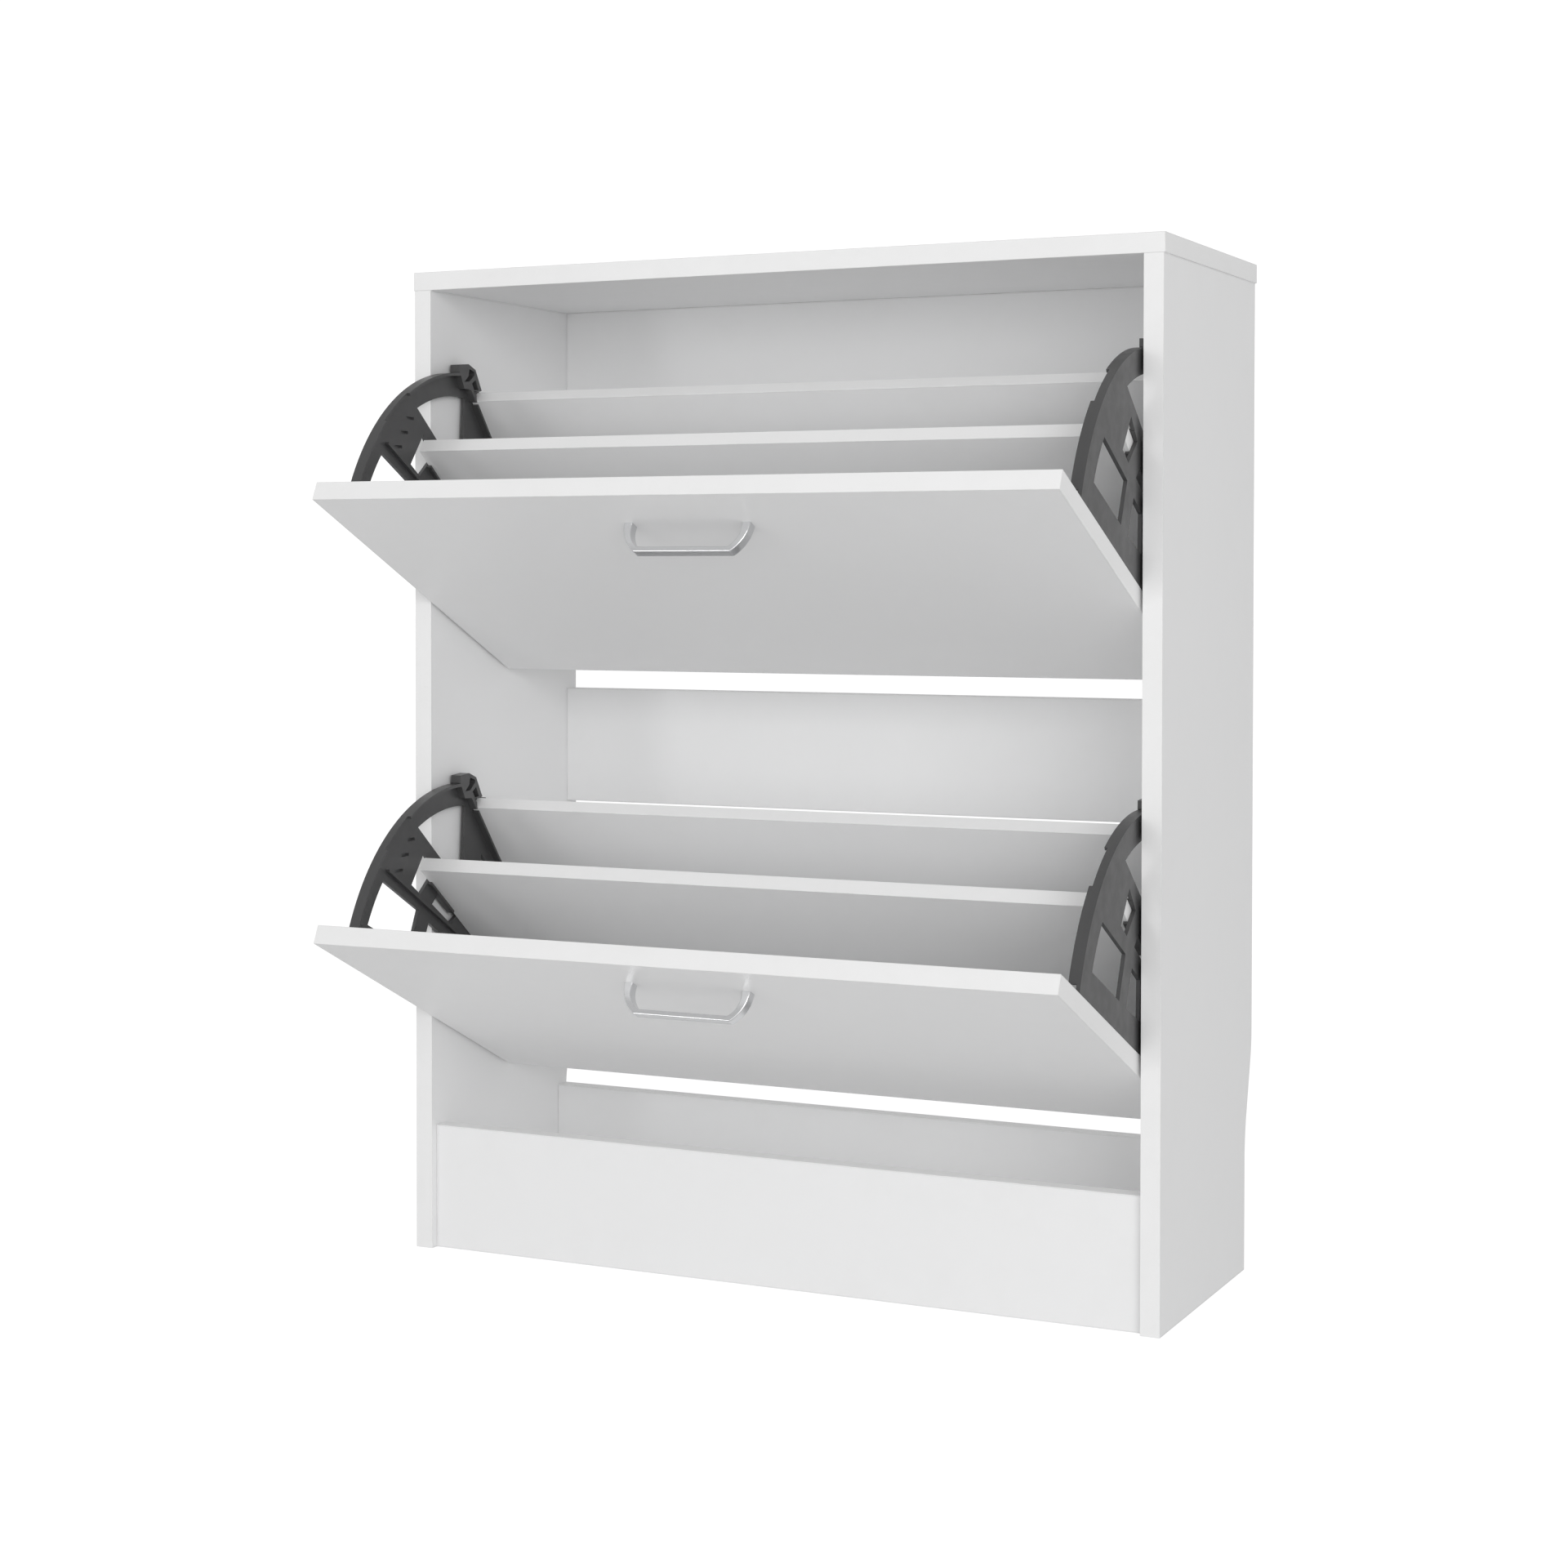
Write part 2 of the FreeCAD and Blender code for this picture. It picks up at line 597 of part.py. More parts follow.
def bracket_body(flap):
    """The left bracket. Its plate lies against the gap at the side, and all its walls point inward."""
    name = f"{flap}_bracket"
    body = doc.addObject("PartDesign::Body", name + "_body")
    outer = "-@flap_half"

    sketch = sketch_on(body, "YZ_Plane", outer, name + "_plate_outline")
    outline(sketch, bracket_outline())
    pad(body, sketch, "@plate", name + "_plate")

    sketch = sketch_on(body, "YZ_Plane", outer, name + "_window_outlines")
    for window in bracket_windows():
        outline(sketch, window)
    half = S["stop_radius"] + S["stop_play"]
    outline(sketch, arc_slot(S["stop_arm"], half, S["stop_bearing"], S["stop_bearing"] + S["open_angle"]))
    pocket(body, sketch, "@plate", name + "_windows", True)

    sketch = sketch_on(body, "YZ_Plane", "-@flap_half + @plate", name + "_slot_outlines")
    for up, inward in SMALL_SLOTS:
        outline(sketch, level_slot(up, inward))
    pocket(body, sketch, "@slot_depth", name + "_slots", False)

    behind = S["thin_board"] + S["end_gap"]
    wide_walls = [
        rim_sector(-2, STEP_ANGLES[0]),
        rim_sector(STEP_ANGLES[1], HOOK_ANGLE),
        strip_on("rear", 2, S["rear_length"], behind, behind + BACK_RIB),
        strip_on("middle", 10, 108, behind, behind + BACK_RIB),
        strip_on("rear", 3, 110, -FRONT_RIB, -S["end_gap"]),
        [at(*point) for point in HOOK],
        [at(*point) for point in HOOK_CAP],
    ]
    for index, wall in enumerate(wide_walls):
        sketch = sketch_on(body, "YZ_Plane", outer, f"{name}_wall_outline_{index}")
        outline(sketch, wall)
        pad(body, sketch, "@rim_wide", f"{name}_wall_{index}")

    sketch = sketch_on(body, "YZ_Plane", outer, name + "_narrow_outline")
    outline(sketch, rim_sector(*STEP_ANGLES))
    pad(body, sketch, "@rim_narrow", name + "_narrow_rim")

    sketch = sketch_on(body, "YZ_Plane", outer, name + "_rib_outline")
    outline(sketch, [at(*point) for point in WEB_RIB])
    pad(body, sketch, "@rim_narrow", name + "_rib")

    sketch = sketch_on(body, "YZ_Plane", outer, name + "_front_rib_outline")
    outline(sketch, strip_on("middle", 17.5, 62, -FRONT_RIB, -S["end_gap"]))
    pad(body, sketch, "@rim_narrow", name + "_front_rib")

    sketch = sketch_on(body, "YZ_Plane", outer, name + "_foot_outline")
    outline(sketch, [at(FOOT_START + 22, DOOR_FACE), at(FOOT_END, DOOR_FACE),
                     at(FOOT_END, DOOR_FACE + S["foot_wall"]),
                     at(FOOT_START + 22, DOOR_FACE + S["foot_wall"])])
    pad(body, sketch, "@foot_flange", name + "_foot")

    sketch = sketch_on(body, "YZ_Plane", outer, name + "_boss_outline")
    circle(sketch, (0, 0), S["boss_radius"])
    pad(body, sketch, "@boss_length", name + "_boss")

    sketch = sketch_on(body, "YZ_Plane", "-@flap_half + @plate", name + "_hollow_outline")
    for hollow in HOOK_HOLLOWS:
        outline(sketch, [at(*point) for point in hollow])
    pocket(body, sketch, "@rim_wide", name + "_hollow", True)

    sketch = sketch_on(body, "YZ_Plane", outer, name + "_screw_holes")
    circle(sketch, (0, 0), S["pin_radius"])
    for centre in divider_screw_points():
        circle(sketch, centre, S["screw_radius"] + S["hole_play"])
    pocket(body, sketch, "@boss_length", name + "_holes", True)

    sketch = sketch_on(body, "YZ_Plane", outer, name + "_screw_seats")
    for centre in divider_screw_points():
        circle(sketch, centre, S["screw_head_radius"] + S["hole_play"])
    pocket(body, sketch, "@screw_head + @hole_play", name + "_seats", True)

    sketch = sketch_on(body, "XZ_Plane", "@pivot_back - @board - @foot_wall - @end_play",
                       name + "_foot_holes")
    for up in BRACKET_SCREWS_UP:
        circle(sketch, (S["bracket_screw_in"] - S["flap_half"], up - S["pivot_up"]),
               S["screw_radius"] + S["hole_play"])
    pocket(body, sketch, "@foot_wall + 2 * @end_play", name + "_foot_bores", True)
    return body


def make_brackets(flap):
    body = bracket_body(flap)
    ride_flap(body, flap)
    keep(body, f"{flap}_bracket_left")
    mirrored = doc.addObject("Part::Mirroring", f"{flap}_bracket_mirrored")
    mirrored.Source = body
    mirrored.Normal = X_AXIS
    keep(mirrored, f"{flap}_bracket_right")


def make_door(flap):
    board = box(f"{flap}_door_board", ("2 * @flap_half", "@board", "@door_height"),
                ("-@flap_half", "-@pivot_back", "-@pivot_up"))
    tools = []
    for sign in (-1, 1):
        tools.append(rod(f"{flap}_handle_bore_{sign + 1}", "@machine_screw_radius + 2 * @hole_play", "@board", "y",
                         (f"{sign} * @handle_centres / 2", "-@pivot_back", "@handle_up - @pivot_up")))
        for up in BRACKET_SCREWS_UP:
            tools.append(rod(f"{flap}_pilot_{sign + 1}_{up}", "@screw_radius + @fit_play",
                             "@bracket_screw_length - @foot_wall + @end_gap", "-y",
                             (f"{sign} * (@flap_half - @bracket_screw_in)", "@board - @pivot_back",
                              f"{up} - @pivot_up")))
    door = cut(f"{flap}_door_drilled", board, tools)
    ride_flap(door, flap)
    keep(door, f"{flap}_door")


def make_dividers(flap):
    half = "(@flap_half - @plate - @end_gap)"
    shapes = {
        "middle_divider": strip_on("middle", 0, S["middle_length"], 0, S["thin_board"]),
        "rear_divider": strip_on("rear", 0, S["rear_length"], 0, S["thin_board"]),
        "toe_board": [
            at(S["toe_board_up"], DOOR_FACE + S["end_gap"]),
            at(S["toe_board_up"] + S["thin_board"], DOOR_FACE + S["end_gap"]),
            at(S["toe_board_up"] + S["thin_board"], DOOR_FACE + S["toe_board_reach"]),
            at(S["toe_board_up"], DOOR_FACE + S["toe_board_reach"]),
        ],
    }
    for (kind, points), screw in zip(shapes.items(), divider_screw_points()):
        body = doc.addObject("PartDesign::Body", f"{flap}_{kind}_body")
        sketch = sketch_on(body, "YZ_Plane", "-" + half, f"{flap}_{kind}_end")
        outline(sketch, points)
        pad(body, sketch, "2 * " + half, f"{flap}_{kind}_pad")
        sketch = sketch_on(body, "YZ_Plane", "-" + half, f"{flap}_{kind}_left_pilot")
        circle(sketch, screw, S["screw_radius"] + S["fit_play"])
        pocket(body, sketch, "@divider_screw_length", f"{flap}_{kind}_left_bore", True)
        sketch = sketch_on(body, "YZ_Plane", half, f"{flap}_{kind}_right_pilot")
        circle(sketch, screw, S["screw_radius"] + S["fit_play"])
        pocket(body, sketch, "@divider_screw_length", f"{flap}_{kind}_right_bore", False)
        ride_flap(body, flap)
        keep(body, f"{flap}_{kind}")


def make_handle(flap):
    """A bow handle cut from one strap: a straight bar between two legs that curve out from the door."""
    name = f"{flap}_handle"
    body = doc.addObject("PartDesign::Body", name + "_body")
    face, outer, inner = -S["pivot_back"], -S["handle_reach"], S["handle_strap"] - S["handle_reach"]
    foot_out, foot_in = S["handle_foot_out"], S["handle_foot_in"]
    bar_out, bar_in = S["handle_bar"] / 2, S["handle_bar"] / 2 - S["handle_mitre"]
    bow = S["handle_bow"]

    def leg(sign, start, end):
        """The arc from one corner of a leg to the other, bowed away from the handle's middle."""
        chord = Vector(abs(start[1] - end[1]), -abs(start[0] - end[0]), 0)
        middle = (Vector(*start, 0) + Vector(*end, 0)) / 2 + chord.normalize() * bow
        return (sign * middle.x, face + middle.y), (sign * end[0], face + end[1])

    sketch = sketch_on(body, "XY_Plane", "@handle_up - @pivot_up - @handle_height / 2", name + "_profile")
    outline(sketch, [
        (foot_out, face), leg(1, (foot_out, 0), (bar_out, outer)),
        (-bar_out, face + outer), leg(-1, (bar_out, outer), (foot_out, 0)),
        (-foot_in, face), leg(-1, (foot_in, 0), (bar_in, inner)),
        (bar_in, face + inner), leg(1, (bar_in, inner), (foot_in, 0)),
    ])
    pad(body, sketch, "@handle_height", name + "_strap")

    sketch = sketch_on(body, "XZ_Plane", "@pivot_back", name + "_bores")
    for sign in (-1, 1):
        circle(sketch, (sign * S["handle_centres"] / 2, S["handle_up"] - S["pivot_up"]),
               S["machine_screw_radius"] + S["fit_play"])
    pocket(body, sketch, "@machine_grip", name + "_threads", True)
    ride_flap(body, flap)
    keep(body, name)


def make_flap_fasteners(flap):
    handle_screws, bracket_screws, divider_screws, pins = [], [], [], []
    inner_face = "(@board - @pivot_back)"
    for sign in (-1, 1):
        tag = f"{flap}_{sign + 1}"
        x = f"{sign} * @handle_centres / 2"
        z = "@handle_up - @pivot_up"
        shank = rod(f"handle_shank_{tag}", "@machine_screw_radius", "@board + @machine_grip - @end_play",
                    "-y", (x, inner_face, z))
        head = rod(f"handle_head_{tag}", "@machine_head_radius", "@machine_head", "y", (x, inner_face, z))
        handle_screws.append(joined(f"handle_screw_{tag}", [shank, head]))
        x = f"{sign} * (@flap_half - @bracket_screw_in)"
        for up in BRACKET_SCREWS_UP:
            z = f"{up} - @pivot_up"
            y = f"{inner_face} + @foot_wall"
            shank = rod(f"bracket_shank_{tag}_{up}", "@screw_radius", "@bracket_screw_length", "-y",
                        (x, y, z))
            head = rod(f"bracket_head_{tag}_{up}", "@screw_head_radius", "@screw_head", "y", (x, y, z))
            bracket_screws.append(joined(f"bracket_screw_{tag}_{up}", [shank, head]))
        for index, (y, z) in enumerate(divider_screw_points()):
            x = f"{sign} * (@flap_half - @hole_play)"
            place = (x, repr(y), repr(z))
            shank = rod(f"divider_shank_{tag}_{index}", "@screw_radius", "@divider_screw_length",
                        OUTWARD[-sign], place)
            head = rod(f"divider_head_{tag}_{index}", "@screw_head_radius", "@screw_head",
                       OUTWARD[-sign], place)
            divider_screws.append(joined(f"divider_screw_{tag}_{index}", [shank, head]))
        pins.append(rod(f"pin_{tag}", "@pin_radius", "@boss_length + @door_gap + @bore_depth - 2 * @end_play",
                        OUTWARD[sign], (f"{sign} * (@flap_half - @boss_length)", "0", "0")))
    for kind, pieces in (("handle_screws", handle_screws), ("bracket_screws", bracket_screws),
                         ("divider_screws", divider_screws), ("pivot_pins", pins)):
        made = group(f"{flap}_{kind}_group", pieces)
        ride_flap(made, flap)
        keep(made, f"{flap}_{kind}")


# ---------------------------------------------------------------- build, check, export

make_sides()
make_top()
make_rails()
make_fasteners()
make_pivot_parts()
for flap_name in ("upper", "lower"):
    make_door(flap_name)
    make_brackets(flap_name)
    make_dividers(flap_name)
    make_handle(flap_name)
    make_flap_fasteners(flap_name)
doc.recompute()

for item in doc.Objects:
    if "Invalid" in item.State or "Error" in item.State:
        raise RuntimeError(f"{item.Label} failed: {item.State}")
for node in nodes:
    if node.Shape.isNull() or not node.Shape.isValid():
        raise RuntimeError(f"{node.Label} has no valid shape")

os.makedirs("parts", exist_ok=True)
for node in nodes:
    node.Shape.exportStep(f"parts/{node.Label}.step")
print(len(nodes), "sub-parts")
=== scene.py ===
import json
import math

import bmesh
import bpy
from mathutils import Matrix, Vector


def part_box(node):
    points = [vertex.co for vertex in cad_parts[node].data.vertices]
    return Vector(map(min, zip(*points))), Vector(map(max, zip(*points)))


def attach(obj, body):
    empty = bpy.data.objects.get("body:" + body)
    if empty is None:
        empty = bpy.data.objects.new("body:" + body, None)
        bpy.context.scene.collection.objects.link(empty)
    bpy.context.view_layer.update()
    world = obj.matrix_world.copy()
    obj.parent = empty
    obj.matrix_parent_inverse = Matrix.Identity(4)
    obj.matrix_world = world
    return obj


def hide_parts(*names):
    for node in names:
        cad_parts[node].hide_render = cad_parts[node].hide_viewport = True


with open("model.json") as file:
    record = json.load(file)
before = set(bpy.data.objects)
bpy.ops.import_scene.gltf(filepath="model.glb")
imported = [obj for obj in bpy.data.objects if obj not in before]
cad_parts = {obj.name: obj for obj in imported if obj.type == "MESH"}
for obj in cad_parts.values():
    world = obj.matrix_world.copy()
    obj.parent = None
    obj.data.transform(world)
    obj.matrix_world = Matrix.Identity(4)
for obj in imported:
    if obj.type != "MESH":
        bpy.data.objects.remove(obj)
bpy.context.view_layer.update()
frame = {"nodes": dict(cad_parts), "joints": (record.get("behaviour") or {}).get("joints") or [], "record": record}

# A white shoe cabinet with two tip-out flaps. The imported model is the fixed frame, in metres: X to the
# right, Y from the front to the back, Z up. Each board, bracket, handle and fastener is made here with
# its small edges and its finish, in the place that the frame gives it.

MM = 0.001
X_AXIS, Y_AXIS, Z_AXIS = Vector((1, 0, 0)), Vector((0, 1, 0)), Vector((0, 0, 1))
FLAPS = ("upper", "lower")
MERGE = 1e-6
ORDER_DIGITS = 4
SAME_PLANE = math.radians(0.5)
CORNER = math.radians(24)


# ---------------------------------------------------------------- shader groups

def add_node(tree, kind, inputs=None, **settings):
    """A node with its settings, and its inputs linked to sockets or set to values."""
    made = tree.nodes.new(kind)
    for name, value in settings.items():
        setattr(made, name, value)
    for name, value in (inputs or {}).items():
        if isinstance(value, bpy.types.NodeSocket):
            tree.links.new(value, made.inputs[name])
        else:
            made.inputs[name].default_value = value
    return made


def math_node(tree, operation, a, b=0.0, clamp=False):
    return add_node(tree, "ShaderNodeMath", {0: a, 1: b}, operation=operation, use_clamp=clamp).outputs[0]


def spread(tree, value, low, high, to_low=0.0, to_high=1.0):
    """The value taken from one range to another, held inside it."""
    return add_node(tree, "ShaderNodeMapRange", {"Value": value, "From Min": low, "From Max": high,
                                                 "To Min": to_low, "To Max": to_high}).outputs["Result"]


def noise(tree, place, scale, detail=2.0, roughness=0.5, distortion=0.0):
    return add_node(tree, "ShaderNodeTexNoise", {"Vector": place, "Scale": scale, "Detail": detail,
                                                 "Roughness": roughness,
                                                 "Distortion": distortion}).outputs["Fac"]


def blend_colour(tree, factor, first, second):
    mix = add_node(tree, "ShaderNodeMix", {0: factor}, data_type="RGBA")
    for socket, value in zip([s for s in mix.inputs if s.type == "RGBA"], (first, second)):
        if isinstance(value, bpy.types.NodeSocket):
            tree.links.new(value, socket)
        else:
            socket.default_value = (*value, 1)
    return [s for s in mix.outputs if s.type == "RGBA"][0]


def new_group(name, inputs, outputs):
    """A shader node group with named sockets. Returns its tree, its input sockets and its output node."""
    tree = bpy.data.node_groups.new(name, "ShaderNodeTree")
    kinds = {"value": "NodeSocketFloat", "vector": "NodeSocketVector", "colour": "NodeSocketColor"}
    for socket, kind, default in inputs:
        made = tree.interface.new_socket(name=socket, in_out="INPUT", socket_type=kinds[kind])
        if default is not None:
            made.default_value = default
    for socket, kind in outputs:
        tree.interface.new_socket(name=socket, in_out="OUTPUT", socket_type=kinds[kind])
    return tree, tree.nodes.new("NodeGroupInput").outputs, tree.nodes.new("NodeGroupOutput")


def make_edge_wear():
    """Rubbed arrises: patches along the small rounded edges, where handling polishes the finish."""
    tree, given, out = new_group(
        "edge_wear",
        [("Arris", "value", 0.0), ("Position", "vector", None), ("Patch Size", "value", 0.05),
         ("Amount", "value", 0.5)],
        [("Mask", "value")])
    per_metre = math_node(tree, "DIVIDE", 1.0, given["Patch Size"])
    patches = noise(tree, given["Position"], per_metre, 4.0, 0.65)
    worn = spread(tree, patches, 0.42, 0.62)
    mask = math_node(tree, "MULTIPLY", worn, given["Arris"])
    tree.links.new(math_node(tree, "MULTIPLY", mask, given["Amount"], True), out.inputs["Mask"])
    return tree


def make_fine_relief():
    """The small pebbled relief of a pressed foil or a moulded plastic, as a height."""
    tree, given, out = new_group(
        "fine_relief",
        [("Position", "vector", None), ("Grain Size", "value", 0.001), ("Coarse Share", "value", 0.3)],
        [("Height", "value")])
    per_metre = math_node(tree, "DIVIDE", 1.0, given["Grain Size"])
    pebbles = add_node(tree, "ShaderNodeTexVoronoi", {"Vector": given["Position"], "Scale": per_metre},
                       feature="SMOOTH_F1").outputs["Distance"]
    waves = noise(tree, given["Position"], math_node(tree, "MULTIPLY", per_metre, 0.27), 3.0)
    coarse = math_node(tree, "MULTIPLY", waves, given["Coarse Share"])
    tree.links.new(math_node(tree, "ADD", pebbles, coarse), out.inputs["Height"])
    return tree


def make_dust():
    """Thin dust that settles where the surface looks up, in soft uneven patches."""
    tree, given, out = new_group(
        "settled_dust",
        [("Position", "vector", None), ("Facing", "vector", None), ("Amount", "value", 0.2)],
        [("Mask", "value")])
    upward = add_node(tree, "ShaderNodeSeparateXYZ", {"Vector": given["Facing"]}).outputs["Z"]
    level = spread(tree, upward, 0.6, 1.0)
    cloud = spread(tree, noise(tree, given["Position"], 14.0, 5.0, 0.6), 0.35, 0.75)
    patch = math_node(tree, "MULTIPLY", level, cloud)
    tree.links.new(math_node(tree, "MULTIPLY", patch, given["Amount"], True), out.inputs["Mask"])
    return tree


def make_board_outline():
    """How far a point of a board's face is from the nearest edge of that board, in metres."""
    tree, given, out = new_group(
        "board_outline", [("Near Edges", "vector", None), ("Far Edges", "vector", None)],
        [("Distance", "value")])
    near = add_node(tree, "ShaderNodeSeparateXYZ", {"Vector": given["Near Edges"]}).outputs
    far = add_node(tree, "ShaderNodeSeparateXYZ", {"Vector": given["Far Edges"]}).outputs
    along = math_node(tree, "MINIMUM", near["X"], far["X"])
    across = math_node(tree, "MINIMUM", near["Y"], far["Y"])
    tree.links.new(math_node(tree, "MINIMUM", along, across), out.inputs["Distance"])
    return tree


EDGE_WEAR = make_edge_wear()
FINE_RELIEF = make_fine_relief()
SETTLED_DUST = make_dust()
BOARD_OUTLINE = make_board_outline()


# ---------------------------------------------------------------- materials

class Finish:
    """A material with a Principled BSDF, and the sources that its pattern reads."""

    def __init__(self, name, **shader):
        self.material = bpy.data.materials.new(name)
        self.material.use_nodes = True
        self.tree = self.material.node_tree
        self.shader = self.tree.nodes["Principled BSDF"]
        for socket, value in shader.items():
            self.shader.inputs[socket.replace("_", " ")].default_value = value
        source = self.tree.nodes.new("ShaderNodeTexCoord")
        self.place, self.facing = source.outputs["Object"], source.outputs["Normal"]

    def attribute(self, name):
        return add_node(self.tree, "ShaderNodeAttribute", attribute_name=name).outputs["Fac"]

    def group(self, tree, inputs):
        return add_node(self.tree, "ShaderNodeGroup", inputs, node_tree=tree).outputs[0]

    def stretched(self, scale):
        return add_node(self.tree, "ShaderNodeMapping",
                        {"Vector": self.place, "Scale": scale}).outputs["Vector"]

    def feed(self, socket, value):
        self.tree.links.new(value, self.shader.inputs[socket])

    def bump(self, height, distance, strength=1.0):
        made = add_node(self.tree, "ShaderNodeBump", {"Height": height, "Distance": distance,
                                                      "Strength": strength})
        self.feed("Normal", made.outputs["Normal"])


FOIL_DARK, FOIL_LIGHT = (0.862, 0.863, 0.866), (0.882, 0.883, 0.885)
SPECK_GREY, BAND_WHITE, SEAM_GREY = (0.66, 0.66, 0.655), (0.885, 0.885, 0.885), (0.55, 0.55, 0.545)
TOUCHED_TINT, DUST_TINT, RUBBED_TINT = (0.70, 0.695, 0.68), (0.70, 0.69, 0.675), (0.63, 0.62, 0.60)
SPECK_SHOWS, BAND_SHOWS, SEAM_SHOWS, TOUCH_SHOWS = 0.10, 0.8, 0.35, 0.10
SEAM_STARTS, SEAM_ENDS = (0.75 * MM, 0.85 * MM), (1.0 * MM, 1.1 * MM)
TOUCH_REACH = (2 * MM, 60 * MM)
BLACK_DEEP, BLACK_PALE = (0.058, 0.058, 0.059), (0.072, 0.072, 0.073)
BLACK_DUST, BLACK_RUBBED = (0.17, 0.165, 0.155), (0.13, 0.13, 0.13)
ACETAL_DEEP, ACETAL_PALE = (0.055, 0.055, 0.056), (0.075, 0.075, 0.076)
BEECH_DEEP, BEECH_PALE, BEECH_RAY = (0.46, 0.29, 0.15), (0.66, 0.47, 0.28), (0.36, 0.21, 0.11)


def white_board():
    """Satin white foil on particle board, with bands glued on its edges."""
    finish = Finish("white_melamine", Specular_IOR_Level=0.42)
    tree = finish.tree
    near = add_node(tree, "ShaderNodeUVMap", uv_map="near_edges").outputs["UV"]
    far = add_node(tree, "ShaderNodeUVMap", uv_map="far_edges").outputs["UV"]
    distance = finish.group(BOARD_OUTLINE, {"Near Edges": near, "Far Edges": far})
    band, arris = finish.attribute("band"), finish.attribute("arris")
    cloud = noise(tree, finish.place, 5.0, 4.0, 0.6)
    speck = spread(tree, noise(tree, finish.place, 900.0, 2.0), 0.66, 0.8)
    colour = blend_colour(tree, cloud, FOIL_DARK, FOIL_LIGHT)
    colour = blend_colour(tree, math_node(tree, "MULTIPLY", speck, SPECK_SHOWS), colour, SPECK_GREY)
    colour = blend_colour(tree, math_node(tree, "MULTIPLY", band, BAND_SHOWS), colour, BAND_WHITE)
    seam = math_node(tree, "MULTIPLY", spread(tree, distance, *SEAM_STARTS),
                     spread(tree, distance, *SEAM_ENDS, 1.0, 0.0))
    flat_face = math_node(tree, "SUBTRACT", 1.0, band, True)
    seam = math_node(tree, "MULTIPLY", seam, flat_face)
    colour = blend_colour(tree, math_node(tree, "MULTIPLY", seam, SEAM_SHOWS), colour, SEAM_GREY)
    touched = math_node(tree, "MULTIPLY", spread(tree, distance, *TOUCH_REACH, 1.0, 0.0),
                        spread(tree, noise(tree, finish.place, 22.0, 5.0, 0.7), 0.45, 0.75))
    colour = blend_colour(tree, math_node(tree, "MULTIPLY", touched, TOUCH_SHOWS), colour, TOUCHED_TINT)
    dust = finish.group(SETTLED_DUST, {"Position": finish.place, "Facing": finish.facing, "Amount": 0.10})
    colour = blend_colour(tree, dust, colour, DUST_TINT)
    worn = finish.group(EDGE_WEAR, {"Arris": arris, "Position": finish.place, "Patch Size": 0.035,
                                    "Amount": 0.30})
    finish.feed("Base Color", blend_colour(tree, worn, colour, RUBBED_TINT))
    satin = spread(tree, noise(tree, finish.place, 60.0, 4.0), 0.3, 0.7, 0.36, 0.46)
    smooth = math_node(tree, "SUBTRACT", satin, math_node(tree, "MULTIPLY", touched, 0.06))
    smooth = math_node(tree, "SUBTRACT", smooth, math_node(tree, "MULTIPLY", band, 0.05))
    finish.feed("Roughness", math_node(tree, "ADD", smooth, math_node(tree, "MULTIPLY", dust, 0.8)))
    relief = finish.group(FINE_RELIEF, {"Position": finish.place, "Grain Size": 0.0016,
                                        "Coarse Share": 0.6})
    sunk = math_node(tree, "SUBTRACT", relief, math_node(tree, "MULTIPLY", seam, 2.0))
    finish.bump(sunk, 0.05 * MM, 0.35)
    return finish.material


def black_plastic():
    """Moulded plastic with a spark-eroded texture, flow lines and lighter rubbed edges."""
    finish = Finish("black_moulding", Specular_IOR_Level=0.5)
    tree = finish.tree
    flow = noise(tree, finish.stretched((60.0, 9.0, 9.0)), 1.0, 5.0, 0.6, 1.2)
    colour = blend_colour(tree, flow, BLACK_DEEP, BLACK_PALE)
    dust = finish.group(SETTLED_DUST, {"Position": finish.place, "Facing": finish.facing, "Amount": 0.14})
    colour = blend_colour(tree, dust, colour, BLACK_DUST)
    worn = finish.group(EDGE_WEAR, {"Arris": finish.attribute("arris"), "Position": finish.place,
                                    "Patch Size": 0.012, "Amount": 0.6})
    finish.feed("Base Color", blend_colour(tree, worn, colour, BLACK_RUBBED))
    matt = spread(tree, noise(tree, finish.place, 90.0, 4.0), 0.3, 0.7, 0.32, 0.42)
    finish.feed("Roughness", math_node(tree, "SUBTRACT", matt, math_node(tree, "MULTIPLY", worn, 0.15)))
    finish.bump(finish.group(FINE_RELIEF, {"Position": finish.place, "Grain Size": 0.0007,
                                           "Coarse Share": 0.25}), 0.06 * MM, 0.5)
    return finish.material


def metal(name, dark, light, rough, lines, relief, wear_colour, wear):
    """A metal with fine lines along one direction, cloudy sheen and worn arrises."""
    finish = Finish(name, Metallic=1.0)
    tree = finish.tree
    drawn = noise(tree, finish.stretched(lines), 1.0, 3.0, 0.6)
    colour = blend_colour(tree, drawn, dark, light)
    worn = finish.group(EDGE_WEAR, {"Arris": finish.attribute("arris"), "Position": finish.place,
                                    "Patch Size": 0.008, "Amount": wear})
    finish.feed("Base Color", blend_colour(tree, worn, colour, wear_colour))
    haze = spread(tree, noise(tree, finish.place, 190.0, 4.0, 0.6), 0.35, 0.7, -0.015, 0.03)
    base = spread(tree, drawn, 0.25, 0.75, rough - 0.03, rough + 0.03)
    finish.feed("Roughness", math_node(tree, "ADD", base, haze))
    finish.bump(drawn, relief, 0.4)
    return finish.material


